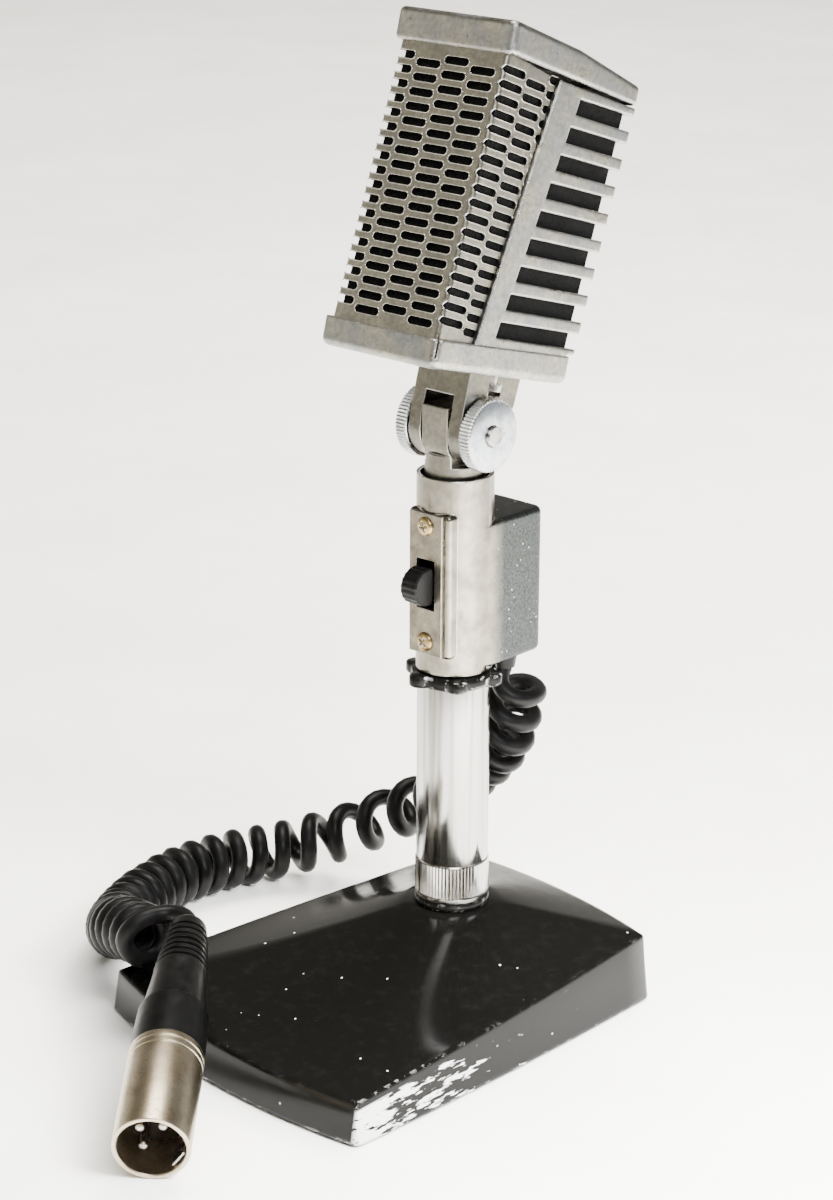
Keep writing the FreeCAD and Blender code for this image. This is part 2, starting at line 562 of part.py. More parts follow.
ROWS = 18
lean = math.atan2(front_high - front_low, 72.0)
up_front = Vector(0, math.sin(lean), math.cos(lean))
normal_front = Vector(0, math.cos(lean), -math.sin(lean))
tools = []
for column in range(4):
    x = 10.9 - dim("column_pitch") * column
    for row in range(ROWS):
        w = 86.95 - dim("slot_pitch") * row + (1.5 if column % 2 else 0)
        centre = Vector(x, along(w, front_low, front_high), w)
        tools.append(slot_tool(centre, X, normal_front, 2.4))
for side in (1, -1):
    for column in range(3):
        for row in range(ROWS):
            w = 88.1 - dim("slot_pitch") * row - (1.9 if column % 2 else 0)
            v = along(w, front_low, front_high) + 4.2 + 8.45 * column
            if v - dim("slot_l") / 2 > along(w, bar_low, bar_high) - 1.5:
                continue
            centre = Vector(side * (dim("grille_half") - 0.4), v, w)
            tools.append(slot_tool(centre, up_front.cross(X), X, 2.4))
node("front_grille", shaped("FrontGrille", sheet_body.cut(Part.makeCompound(tools))), HEAD)

# Rear frame: side bars and a back wall cut into level ribs that wrap the corners.
back_low, back_high = 18.6, 24.7
fh, wall = dim("frame_half"), dim("frame_wall")
FRAME_LOW, FRAME_HIGH = 17.8, 88.6


def frame_block(half, grow_back, start):
    profile = [(along(FRAME_LOW, bar_low, bar_high) + start, FRAME_LOW),
               (along(FRAME_LOW, back_low, back_high) + grow_back, FRAME_LOW),
               (along(FRAME_HIGH, back_low, back_high) + grow_back, FRAME_HIGH - 2.3),
               (along(FRAME_HIGH, bar_low, bar_high) + start, FRAME_HIGH + 0.2)]
    return prism_x(profile, -half, half)


rear = frame_block(fh, 0.0, 0.0)
rear = rounded(rear, 1.5, lambda e: runs_along(e, Z, 0.15) and mid(e).y > 10)
core = prism_x([(-60, 0), (along(0, back_low, back_high) - wall, 0),
                (along(120, back_low, back_high) - wall, 120), (-60, 120)], -fh + wall, fh - wall)
rear = rear.cut(core)
gaps = []
for i in range(9):
    w = 83.45 - dim("rib_pitch") * i
    tip = 0.045 * (w - 20) / 60
    bar_width = 6.2 + 3.2 * (w - 20) / 64
    h = dim("window_gap") / 2
    low_v, high_v = (along(w + d, bar_low, bar_high) + bar_width for d in (-h, h))
    gaps.append(prism_x([(low_v, w - h), (40.0, w - h - tip * (40.0 - low_v)),
                         (40.0, w + h - tip * (40.0 - low_v)), (high_v, w + h)], -30, 30))
gaps.append(prism_x([(15.4, 0), (60, 0), (60, 23.0), (15.4, 23.0)], -30, 30))
rear = rear.cut(Part.makeCompound(gaps))
spine = prism_x([(along(23.2, back_low, back_high) - wall, 23.2),
                 (along(23.2, back_low, back_high) - 0.6, 23.2),
                 (along(84, back_low, back_high) - 0.6, 84.0),
                 (along(84, back_low, back_high) - wall, 84.0)], -2.5, 2.5)
node("rear_frame", shaped("RearFrame", rear.fuse(spine).removeSplitter()), HEAD)

# Black cloth tube behind the grille and the ribs.
liner_half = fh - wall - 0.4


def liner_box(inset):
    low, high, front_top = 18.2 - inset * 4, 85.6 + inset * 6, 90.0 + inset * 6
    profile = [(along(low, front_low, front_high) + 1.6 + inset, low),
               (min(15.5, along(low, back_low, back_high) - wall - 0.4) - inset, low),
               (15.5 - inset, 22.9 + inset),
               (along(23.4, back_low, back_high) - wall - 0.4 - inset, 23.4 + inset),
               (along(high, back_low, back_high) - wall - 0.4 - inset, high),
               (along(front_top, front_low, front_high) + 1.6 + inset, front_top)]
    return prism_x(profile, -liner_half + inset, liner_half - inset)


node("cloth_liner", shaped("ClothLiner", liner_box(0).cut(liner_box(1.0))), HEAD)

node("capsule_mount", fuse("CapsuleMount", block("MountFoot", 20, 14, 2, (-10, -15, 17.7)),
                           block("MountStalk", 8, 4, 16, (-4, -4.0, 19.0))), HEAD)
node("capsule", cylinder("Capsule", "capsule_r", "capsule_t", (0, -14.0, 50.0), Y), HEAD)
node("capsule_stem", block("CapsuleStem", 6, 3, 20, (-3, -4.9, 35.1)), HEAD)
node("head_tie_screws", group("HeadTieScrews", *[
    cylinder("TieScrew", 1.5, 70.0, (x, v, 17.7)) for x, v in tie_at]), HEAD)

# ---------------------------------------------------------------- cord and plug
def routed_tube(points, radius, label, tight=0.45):
    """Round tube along straight runs that are joined by tangent arcs."""
    edges, here, length = [], points[0], 0.0
    for i in range(1, len(points) - 1):
        a, p, b = points[i - 1], points[i], points[i + 1]
        u, w = (p - a).normalize(), (b - p).normalize()
        half_turn = u.getAngle(w) / 2
        reach = tight * min((p - a).Length, (b - p).Length)
        bend = reach / math.tan(half_turn)
        start, end = p - u * reach, p + w * reach
        inward = (w - u).normalize()
        centre = p + inward * (bend / math.cos(half_turn))
        edges.append(Part.LineSegment(here, start).toShape())
        edges.append(Part.Arc(start, centre - inward * bend, end).toShape())
        print("%s bend radius %.1f mm, turn %.0f deg" % (label, bend, math.degrees(2 * half_turn)))
        here = end
    edges.append(Part.LineSegment(here, points[-1]).toShape())
    path = Part.Wire(edges)
    first = (points[1] - points[0]).normalize()
    disc = Part.Wire(Part.makeCircle(radius, points[0], first))
    tube = path.makePipeShell([disc], True, True)
    expect = math.pi * radius ** 2 * path.Length
    print("%s length %.1f mm, volume ratio %.4f" % (label, path.Length, tube.Volume / expect))
    return tube


coil_route = [Vector(4.5, 20.5, 85.0), Vector(0.0, 24.0, 68.0), Vector(-16.5, 32.0, 52.0),
              Vector(-35.5, 36.5, 36.5), Vector(-57.0, 37.5, 23.0), Vector(-73.0, 34.0, 13.5),
              Vector(-85.0, 21.0, 9.0), Vector(-92.0, 5.0, 8.9), Vector(-94.0, -12.0, 8.9),
              Vector(-90.5, -29.0, 8.9), Vector(-83.0, -44.5, 9.3), Vector(-72.0, -55.5, 13.5),
              Vector(-60.0, -62.0, 21.0), Vector(-44.0, -66.8, 23.2)]
node("curly_cord", shaped("CurlyCord", routed_tube(coil_route, dim("coil_d") / 2, "coil")))
node("cord_tail_body", cylinder("CordTailBody", "strand_d / 2", dim("box_z") - 5.1 - 85.02 + 4.0,
                                (gland_x, gland_y, 85.02)))

# Plug: its axis leaves the boot and runs down to a mouth whose rim rests on the desk.
PLUG_TILT, PLUG_TURN = 13.0, -49.7
out = Rotation(Z, PLUG_TURN).multVec(Rotation(Y, PLUG_TILT).multVec(X))
mouth = Vector(17.85, -125.3, dim("plug_r") * math.cos(math.radians(PLUG_TILT)) + 0.02)
PLUG = Placement(mouth, Rotation(Z, -out))
shell_l, collar_l, boot_l = dim("shell_l"), dim("collar_l"), dim("boot_l")
node("plug_shell", cut("PlugShell", cylinder("PlugShellWall", "plug_r", "shell_l"),
                       cylinder("PlugShellBore", "plug_bore_r", 40, (0, 0, -2)),
                       cylinder("PlugShellKey", 0.8, 5.0, (8.3 * math.cos(math.radians(123)),
                                                           8.3 * math.sin(math.radians(123)), -2))),
     PLUG)
node("plug_insert", cylinder("PlugInsert", "plug_bore_r - 0.02", 14.0, (0, 0, 12.0)), PLUG)
pin_spots = [(4.0 * math.cos(math.radians(a)), 4.0 * math.sin(math.radians(a)))
             for a in (170, 260, 350)]
node("plug_pins", group("PlugPins", *[
    fuse("PlugPin", cylinder("PlugPinShank", "pin_r", 7.5, (x, y, 4.5)),
         cone("PlugPinTip", 0.7, 1.2, 0.7, (x, y, 3.8))) for x, y in pin_spots]), PLUG)
latch = Part.makeBox(5.0, 0.5, 5.0, Vector(-2.5, 7.3, 1.4))
latch.rotate(Vector(), Z, -15)
node("plug_latch", shaped("PlugLatch", latch), PLUG)
node("plug_collar", cut("PlugCollar", fuse(
    "PlugCollarBody", cone("PlugCollarRing", 9.3, 9.0, collar_l, (0, 0, shell_l + 0.02)),
    cylinder("PlugCollarSpigot", "plug_bore_r - 0.02", 6.0, (0, 0, shell_l - 5.0))),
    cylinder("PlugCollarBore", 6.0, 40, (0, 0, shell_l - 6))), PLUG)
boot_z = shell_l + collar_l + 0.04
node("plug_boot", cut("PlugBoot", fuse(
    "PlugBootBody", cone("PlugBootSleeve", 8.2, 6.9, 15.0, (0, 0, boot_z)),
    cone("PlugBootTaper", 6.9, 4.9, boot_l - 15.0, (0, 0, boot_z + 15.0))),
    cylinder("PlugBootBore", "strand_d / 2 + 0.02", 6.0, (0, 0, boot_z + boot_l - 5.0)),
    cylinder("PlugBootRoom", 4.0, 10.0, (0, 0, boot_z - 1.0))), PLUG)

boot_end = mouth - out * (boot_z + boot_l)
coil_end = coil_route[-1]
onward = (coil_end - coil_route[-2]).normalize()
across = Z.cross(onward).normalize()
rise = onward.cross(across)


def beside(ahead, side, lift):
    """Point near the coil's end: ahead along it, to its side and above it."""
    return coil_end + onward * ahead + across * side + rise * lift


tail_route = [beside(0.02, -6.2, 0.0), beside(0.4, -6.8, 7.2), beside(-1.6, -1.2, 12.8),
              beside(-3.4, 6.8, 14.4), boot_end - out * 9.2, boot_end + out * 4.9]
node("cord_tail_plug", shaped("CordTailPlug",
                              routed_tube(tail_route, dim("strand_d") / 2, "plug tail")))

# ---------------------------------------------------------------- checks and export
doc.recompute()
bad = []
for obj in doc.Objects:
    if "Invalid" in obj.State or "Error" in obj.State:
        bad.append(obj.Label + " " + str(obj.State))
for obj in nodes:
    shape = obj.Shape
    if shape.isNull() or not shape.isValid() or not shape.Solids:
        bad.append(obj.Label + " has no valid solid")
full = dim("plate_w") * dim("plate_h") * dim("plate_t")
if not face_pocket.Shape.Volume < full - 0.9 * dim("window_w") * dim("window_h") * dim("plate_t"):
    bad.append("switch_plate window was not cut")
if bad:
    raise RuntimeError("; ".join(bad))
os.makedirs("parts", exist_ok=True)
for obj in nodes:
    obj.Shape.exportStep("parts/%s.step" % obj.Label)
    print("%-18s volume %10.1f  solids %d" % (obj.Label, obj.Shape.Volume, len(obj.Shape.Solids)))
print(len(nodes), "nodes")
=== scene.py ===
import bmesh
import bpy
import math
from mathutils import Matrix, Vector


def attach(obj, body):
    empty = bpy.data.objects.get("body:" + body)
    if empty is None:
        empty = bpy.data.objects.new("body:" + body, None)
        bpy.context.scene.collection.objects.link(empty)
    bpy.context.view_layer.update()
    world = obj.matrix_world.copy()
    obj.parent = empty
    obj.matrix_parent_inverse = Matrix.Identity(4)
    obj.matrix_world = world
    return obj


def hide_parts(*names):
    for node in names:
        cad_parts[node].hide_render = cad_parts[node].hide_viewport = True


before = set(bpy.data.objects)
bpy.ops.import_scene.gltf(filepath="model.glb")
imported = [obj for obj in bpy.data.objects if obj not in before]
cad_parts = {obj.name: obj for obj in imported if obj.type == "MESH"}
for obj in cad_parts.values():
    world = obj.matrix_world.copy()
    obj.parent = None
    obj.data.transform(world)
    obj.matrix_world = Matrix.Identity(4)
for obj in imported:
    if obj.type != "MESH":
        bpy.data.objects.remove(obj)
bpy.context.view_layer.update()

# Desktop mic stand. The frame is in metres; sizes here are in millimetres and are
# turned to metres where a mesh is made. Camera and cord come first, then the
# materials, the pieces from the base up, and the studio.

MM = 0.001
X, Y, Z = Vector((1, 0, 0)), Vector((0, 1, 0)), Vector((0, 0, 1))
MERGE = 1e-7                        # metres; closer points become one


def linked(name, data):
    """A new object in the scene."""
    thing = bpy.data.objects.new(name, data)
    bpy.context.collection.objects.link(thing)
    return thing


def plain(bm, name="shape"):
    """A new mesh from a bmesh, which is freed."""
    mesh = bpy.data.meshes.new(name)
    bm.to_mesh(mesh)
    bm.free()
    return mesh


def loaded(*meshes):
    """A bmesh that holds the given meshes."""
    bm = bmesh.new()
    for mesh in meshes:
        bm.from_mesh(mesh)
    return bm


class Nodes:
    """A node tree being built: one call adds a node with its settings and links."""

    def __init__(self, tree):
        self.tree, self.nodes, self.links = tree, tree.nodes, tree.links

    def add(self, kind, inputs=(), **settings):
        node = self.nodes.new(kind)
        for key, value in settings.items():
            setattr(node, key, value)
        for key, value in dict(inputs).items():
            self.feed(node.inputs[key], value)
        return node

    def feed(self, socket, value):
        """Links a socket to an input, or sets the input's own value."""
        if isinstance(value, bpy.types.NodeSocket):
            self.links.new(value, socket)
        else:
            socket.default_value = value

    def maths(self, operation, a, b=0.0):
        return self.add("ShaderNodeMath", {0: a, 1: b}, operation=operation).outputs[0]


# ---------------------------------------------------------------- camera
TURN, PITCH, ROLL = math.radians(42.594), math.radians(18.857), math.radians(0.289)
ASIDE, AIM_Z, DISTANCE = -0.00972, 0.1107, 0.7868
LENS, SENSOR = 91.77, 36.0


def make_camera():
    """A long lens a little above the stand, turned to its front right corner."""
    forward = Vector((-math.sin(TURN) * math.cos(PITCH), math.cos(TURN) * math.cos(PITCH),
                      -math.sin(PITCH)))
    right = Vector((math.cos(TURN), math.sin(TURN), 0.0))
    up = right.cross(forward)
    rolled_right = right * math.cos(ROLL) + up * math.sin(ROLL)
    rolled_up = up * math.cos(ROLL) - right * math.sin(ROLL)
    aim = Vector((math.cos(TURN) * ASIDE, math.sin(TURN) * ASIDE, AIM_Z))
    cam = linked("view_camera", bpy.data.cameras.new("view_camera"))
    axes = Matrix((rolled_right, rolled_up, -forward)).transposed().to_4x4()
    cam.matrix_world = Matrix.Translation(aim - forward * DISTANCE) @ axes
    cam.data.lens, cam.data.sensor_width = LENS, SENSOR
    cam.data.clip_start, cam.data.clip_end = 0.05, 20.0
    bpy.context.scene.camera = cam


make_camera()

# ---------------------------------------------------------------- curly cord
STRAND = 4.8                        # strand diameter
HANGING_R, LYING_R = 5.75, 6.3      # mean radius of the coil above and on the desk
CORD_EXIT = (2.0, 17.6, 88.7)       # where the strand leaves its gland
COIL_ROUTE = [(4.5, 20.5, 85.0), (0.0, 24.0, 68.0), (-16.5, 32.0, 52.0), (-35.5, 36.5, 36.5),
              (-57.0, 37.5, 23.0), (-73.0, 34.0, 13.5), (-85.0, 21.0, 9.0), (-92.0, 5.0, 8.9),
              (-94.0, -12.0, 8.9), (-90.5, -29.0, 8.9), (-83.0, -44.5, 9.3),
              (-72.0, -55.5, 13.5), (-60.0, -62.0, 21.0), (-44.0, -66.8, 23.2)]
# Spacing of the turns along the route: relaxed where it hangs, stretched behind the
# post, then closing until the turns touch. (distance, spacing)
SPACING = [(0, 8.8), (38, 9.2), (54, 11.8), (74, 13.2), (96, 14.4), (105, 12.4), (116, 9.8),
           (127, 8.6), (142, 7.0), (160, 6.5), (176, 5.7), (190, 5.1), (260, 5.0)]
START_TURN = 0.42                   # where round the coil the first turn begins
STEPS_PER_TURN = 20
STATION = 0.25                      # spacing of the stations that the helix is worked out at
WIDENS_FROM, WIDENS_OVER = 60, 80   # stretch of the route where the coil grows to its lying size


def spline_points(points, name, resolution=24):
    """Points read from a smooth NURBS curve through a short list of control points."""
    data = bpy.data.curves.new(name, "CURVE")
    data.dimensions = "3D"
    spline = data.splines.new("NURBS")
    spline.points.add(len(points) - 1)
    for knot, p in zip(spline.points, points):
        knot.co = (*(c * MM for c in p), 1.0)
    spline.order_u = 3
    spline.use_endpoint_u = True
    spline.resolution_u = resolution
    holder = linked(name, data)
    bpy.context.view_layer.update()
    mesh = bpy.data.meshes.new_from_object(holder)
    found = [v.co / MM for v in mesh.vertices]
    bpy.data.objects.remove(holder)
    bpy.data.meshes.remove(mesh)
    return found


def between(table, s):
    """Value at s from (s, value) pairs, joined by straight lines."""
    for (a, low), (b, high) in zip(table, table[1:]):
        if s <= b:
            return low + (high - low) * max(0.0, s - a) / (b - a)
    return table[-1][1]


def along_line(line, step):
    """Evenly spaced (distance, point, direction) along a polyline."""
    found, travelled, want = [], 0.0, 0.0
    for a, b in zip(line, line[1:]):
        length = (b - a).length
        while length > 0 and want <= travelled + length:
            found.append((want, a.lerp(b, (want - travelled) / length), (b - a).normalized()))
            want += step
        travelled += length
    return found, travelled


def wound(line):
    """Left-handed helix round a polyline; side carries the frame along without twist."""
    stations, total = along_line(line, STATION)
    side = (Y - stations[0][2] * Y.dot(stations[0][2])).normalized()
    turn, last, points = START_TURN, 0.0, []
    next_turn = turn
    for s, centre, onward in stations:
        side = (side - onward * side.dot(onward)).normalized()
        other = onward.cross(side)
        turn += (s - last) / between(SPACING, s)
        last = s
        if turn >= next_turn:
            wider = min(1.0, max(0.0, (s - WIDENS_FROM) / WIDENS_OVER))
            radius = HANGING_R + (LYING_R - HANGING_R) * wider
            a = math.tau * turn
            points.append(centre + (side * math.cos(a) - other * math.sin(a)) * radius)
            next_turn += 1.0 / STEPS_PER_TURN
    return points, total


def tangent_curve(p0, d0, p1, d1, count, pull):
    """Cubic between two points that leaves along d0 and arrives along d1."""
    reach = (p1 - p0).length * pull
    a, b = p0 + d0.normalized() * reach, p1 - d1.normalized() * reach
    found = []
    for i in range(1, count):
        t = i / count
        found.append(p0 * (1 - t) ** 3 + a * (3 * t * (1 - t) ** 2) + b * (3 * t * t * (1 - t))
                     + p1 * t ** 3)
    return found


route = spline_points(COIL_ROUTE, "coil_route")
turns, route_length = wound(route)

# The connector's axis runs from its boot down to a mouth whose rim rests on the desk.
PLUG_R, PLUG_TILT, PLUG_TURN = 9.5, math.radians(13.0), math.radians(-49.7)
MOUTH_X, MOUTH_Y = 17.85, -125.3
SHELL_L, COLLAR_L, BOOT_L = 32.7, 16.0, 36.0
GAP = 0.02                          # clearance between parts that only touch
plug_out = Matrix.Rotation(PLUG_TURN, 3, "Z") @ Matrix.Rotation(PLUG_TILT, 3, "Y") @ X
mouth = Vector((MOUTH_X, MOUTH_Y, PLUG_R * math.cos(PLUG_TILT) + GAP))
plug_turned = Z.rotation_difference(-plug_out).to_matrix().to_4x4()
PLUG = Matrix.Translation(mouth * MM) @ plug_turned
boot_end = mouth - plug_out * (SHELL_L + COLLAR_L + BOOT_L + 2 * GAP)

coil_end = Vector(COIL_ROUTE[-1])
onward = (coil_end - Vector(COIL_ROUTE[-2])).normalized()
across = Z.cross(onward).normalized()
rise = onward.cross(across)


def beside(ahead, side, lift):
    """Point near the coil's end: ahead along it, to its side and above it."""
    return coil_end + onward * ahead + across * side + rise * lift


def cut_back(points, target):
    """Drop the last points of the helix that lie past a target."""
    best = min(range(len(points) - 2 * STEPS_PER_TURN, len(points)),
               key=lambda i: (points[i] - target).length)
    return points[:best + 1]


# From the gland the strand drops and swings into the first turn; the last turn comes
# over the top and folds round, about one diameter in radius, into the boot.
JOIN_AT, JOIN_PULL, LEAN_OUT = 6, 0.6, 0.9
LEAVES_COIL, CREST = (-1.2, -6.5, -3.0), (-1.8, 1.0, 6.2)
OVER_PULL, FOLD_PULL = 0.45, 0.5
start = Vector(CORD_EXIT)
downward = (-Z - Y * LEAN_OUT).normalized()
drop = start + downward
turns = cut_back(turns[JOIN_AT:], beside(*LEAVES_COIL))
head_end = [start, start + downward * 0.5, drop] + tangent_curve(
    drop, downward, turns[0], turns[1] - turns[0], 12, JOIN_PULL)
crest, boot_mouth = beside(*CREST), boot_end - plug_out * 0.2
over = tangent_curve(turns[-1], turns[-1] - turns[-2], crest, across, 12, OVER_PULL)
fold = tangent_curve(crest, across, boot_mouth, plug_out, 16, FOLD_PULL)
tail_end = over + [crest] + fold + [boot_mouth + plug_out * d for d in (0.0, 1.2, 2.6, 4.4)]
raw = head_end + turns + tail_end
evened = [(a + b * 2 + c) / 4 for a, b, c in zip(raw, raw[1:], raw[2:])]
strand = [raw[0]] + evened + [raw[-1]]

cord_curve = bpy.data.curves.new("curly_cord_strand", "CURVE")
cord_curve.dimensions = "3D"
cord_spline = cord_curve.splines.new("POLY")
cord_spline.points.add(len(strand) - 1)
for knot, p in zip(cord_spline.points, strand):
    knot.co = (*(p * MM), 1.0)
cord_curve.bevel_depth = STRAND / 2 * MM
cord_curve.bevel_resolution = 4
cord_curve.use_fill_caps = True
cord_piece = linked("curly_cord_strand", cord_curve)


# ---------------------------------------------------------------- material helpers
def linear(code):
    """sRGB hex to a linear colour with alpha."""
    parts = [int(code[i:i + 2], 16) / 255 for i in (1, 3, 5)]
    return [c / 12.92 if c <= 0.04045 else ((c + 0.055) / 1.055) ** 2.4 for c in parts] + [1.0]


class Surface(Nodes):
    """A Principled material being built, with patterns sized in millimetres."""

    def __init__(self, name, colour, metallic=0.0, roughness=0.5, specular=0.5):
        self.material = bpy.data.materials.new(name)
        self.material.use_nodes = True
        super().__init__(self.material.node_tree)
        self.shader = self.nodes["Principled BSDF"].inputs
        self.shader["Base Color"].default_value = linear(colour)
        self.shader["Metallic"].default_value = metallic
        self.shader["Roughness"].default_value = roughness
        self.shader["Specular IOR Level"].default_value = specular
        self.place = self.nodes.new("ShaderNodeTexCoord").outputs["Object"]

    def noise(self, size, detail=3.0, roughness=0.55, stretch=None):
        """Cloudy pattern whose lumps are about size millimetres across."""
        place = self.place
        if stretch:
            place = self.add("ShaderNodeMapping", {"Vector": place, "Scale": stretch}).outputs[0]
        return self.add("ShaderNodeTexNoise",
                        {"Vector": place, "Scale": 1.0 / (size * MM), "Detail": detail,
                         "Roughness": roughness}).outputs["Fac"]

    def cells(self, size, feature="F1"):
        """Distance from scattered centres about size millimetres apart."""
        return self.add("ShaderNodeTexVoronoi", {"Vector": self.place, "Scale": 1.0 / (size * MM)},
                        feature=feature).outputs["Distance"]

    def remap(self, value, low, high, to_low=0.0, to_high=1.0):
        return self.add("ShaderNodeMapRange", {"Value": value, "From Min": low, "From Max": high,
                                               "To Min": to_low, "To Max": to_high}).outputs[0]

    def spots(self, spacing, inner, outer):
        """Round spots at scattered centres: 1 inside the inner radius, 0 past the outer."""
        return self.remap(self.cells(spacing), inner, outer, 1.0, 0.0)

    def times(self, a, b):
        return self.maths("MULTIPLY", a, b)

    def mix(self, factor, a, b):
        """Blend of two colours; each is a hex code or a socket."""
        a, b = (linear(c) if isinstance(c, str) else c for c in (a, b))
        return self.add("ShaderNodeMix", {0: factor, 6: a, 7: b}, data_type="RGBA").outputs[2]

    def edges(self, radius, low, high):
        """Mask that is 1 on edges sharper than the radius, from a rounded normal."""
        soft = self.add("ShaderNodeBevel", {"Radius": radius * MM}, samples=6).outputs[0]
        true = self.add("ShaderNodeNewGeometry").outputs["Normal"]
        dot = self.add("ShaderNodeVectorMath", {0: soft, 1: true}, operation="DOT_PRODUCT")
        return self.remap(dot.outputs["Value"], high, low), soft

    def height(self, parts, soft=None):
        """Bump from (pattern, depth in millimetres) pairs, over an optional soft normal."""
        normal = soft
        for pattern, depth in parts:
            node = self.add("ShaderNodeBump", {"Height": pattern, "Distance": depth * MM,
                                               "Strength": 1.0})
            if normal is not None:
                self.feed(node.inputs["Normal"], normal)
            normal = node.outputs[0]
        self.feed(self.shader["Normal"], normal)

    def colour(self, value):
        self.feed(self.shader["Base Color"], value)

    def rough(self, value):
        self.feed(self.shader["Roughness"], value)


# ---------------------------------------------------------------- materials
def worn_nickel(name, warm, cool, dark, roughness, grain, pits, edge):
    """Nickel over a zinc casting: cloudy tarnish, black pits, and near-white edges that are partly
    rubbed wear and partly painted highlight.
    """
    s = Surface(name, warm, metallic=1.0, roughness=roughness)
    clouds = s.remap(s.noise(9.0, 5.0, 0.62), 0.36, 0.66)
    fine = s.remap(s.noise(1.3, 4.0, 0.65), 0.35, 0.7)
    tone = s.mix(clouds, warm, cool)
    tone = s.mix(s.times(fine, 0.55), tone, dark)
    pit = s.times(s.spots(3.4, 0.035 * pits, 0.075 * pits), s.remap(s.noise(14.0), 0.46, 0.54))
    tone = s.mix(pit, tone, "#15130f")
    # Near-white on sharp edges: partly rubbed wear, partly a painted highlight.
    rub_and_highlight, soft = s.edges(edge, 0.90, 0.985)
    rub_and_highlight = s.times(rub_and_highlight, s.remap(s.noise(2.2, 3.0), 0.30, 0.52, 0.25, 1.0))
    s.colour(s.mix(rub_and_highlight, tone, "#f4f2ee"))
    s.rough(s.maths("ADD", s.remap(clouds, 0, 1, roughness - 0.07, roughness + 0.08),
                    s.times(rub_and_highlight, -0.12)))
    s.height([(fine, grain), (s.maths("SUBTRACT", 1.0, pit), 0.10)], soft)
    return s.material


POLISH_ENDS = (3.0, 8.0)            # depth at which the hand polish fades into raw casting


def body_casting():
    """Switch body: polished by hand at the front and neck, left grainy on the box. The front's
    lighter warm tone is partly painted light and the box's darker grey partly painted shade.
    """
    s = Surface("body_nickel", "#c9c5bc", metallic=1.0, roughness=0.3)
    parts = s.add("ShaderNodeSeparateXYZ", {"Vector": s.place})
    behind = s.remap(parts.outputs["Y"], *(y * MM for y in POLISH_ENDS))
    grains = s.noise(0.75, 3.0, 0.7)
    fine = s.remap(s.noise(0.9, 4.0, 0.6), 0.35, 0.7)
    # Darker grey on the box behind and a lighter warm tone at the front: partly the real finish,
    # partly painted shade on the box and painted light on the front.
    grey = s.mix(s.remap(grains, 0.38, 0.64), "#525554", "#3a3d3c")
    flecks = s.times(s.spots(1.7, 0.10, 0.17), s.remap(s.noise(7.0), 0.46, 0.58))
    grey = s.mix(flecks, grey, "#e9ecec")
    bright = s.mix(s.remap(s.noise(5.0, 5.0, 0.6), 0.4, 0.68), "#8e897c", "#6c675d")
    # Near-white on sharp edges: partly rubbed wear, partly a painted highlight.
    rub_and_highlight, soft = s.edges(0.5, 0.9, 0.985)
    s.colour(s.mix(rub_and_highlight, s.mix(behind, bright, grey), "#f6f5f2"))
    s.rough(s.remap(behind, 0, 1, 0.2, 0.46))
    s.height([(s.times(grains, behind), 0.16), (fine, 0.008)], soft)
    return s.material


def chrome_plate():
    """Chromium plate on brass: a mirror with hazy patches and a few rust specks.
    Its polishing lines run along the tube and are drawn coarser than real ones, to show."""
    s = Surface("chrome_plate", "#c6c4c1", metallic=1.0, roughness=0.12)
    haze = s.remap(s.noise(2.4, 3.0, 0.5, (1.0, 1.0, 0.03)), 0.44, 0.62)
    specks = s.times(s.spots(3.0, 0.06, 0.12), s.remap(s.noise(11.0), 0.56, 0.62))
    s.colour(s.mix(specks, s.mix(haze, "#cac8c5", "#9a968d"), "#3a2a1c"))
    s.rough(s.remap(haze, 0, 1, 0.10, 0.22))
    s.height([(s.noise(0.35, 2.0, 0.5, (1.0, 1.0, 0.02)), 0.004)])
    return s.material


def rubbed_steel(name, light, dark, roughness, spacing):
    """Plated steel: cloudy tarnish and polishing marks, drawn coarser than real to show, and
    near-white edges that are partly rubbed wear and partly painted highlight.
    """
    s = Surface(name, light, metallic=1.0, roughness=roughness)
    clouds = s.remap(s.noise(4.0, 5.0, 0.65), 0.38, 0.66)
    marks = s.noise(spacing, 3.0, 0.6, (1.0, 1.0, 0.08))
    # Near-white on sharp edges: partly rubbed wear, partly a painted highlight.
    rub_and_highlight, soft = s.edges(0.35, 0.9, 0.985)
    s.colour(s.mix(rub_and_highlight, s.mix(clouds, light, dark), "#f5f3ee"))
    s.rough(s.remap(clouds, 0, 1, roughness - 0.06, roughness + 0.08))
    s.height([(marks, 0.01)], soft)
    return s.material


REFLECTION_FROM_X, REFLECTION_FRONT_Y, REFLECTION_BACK_Y = 40.0, -80.0, -14.0   # where the painted reflection on the skirt lies
REFLECTION_TOP, REFLECTION_TOP_SLOPE = 14.9, 0.066


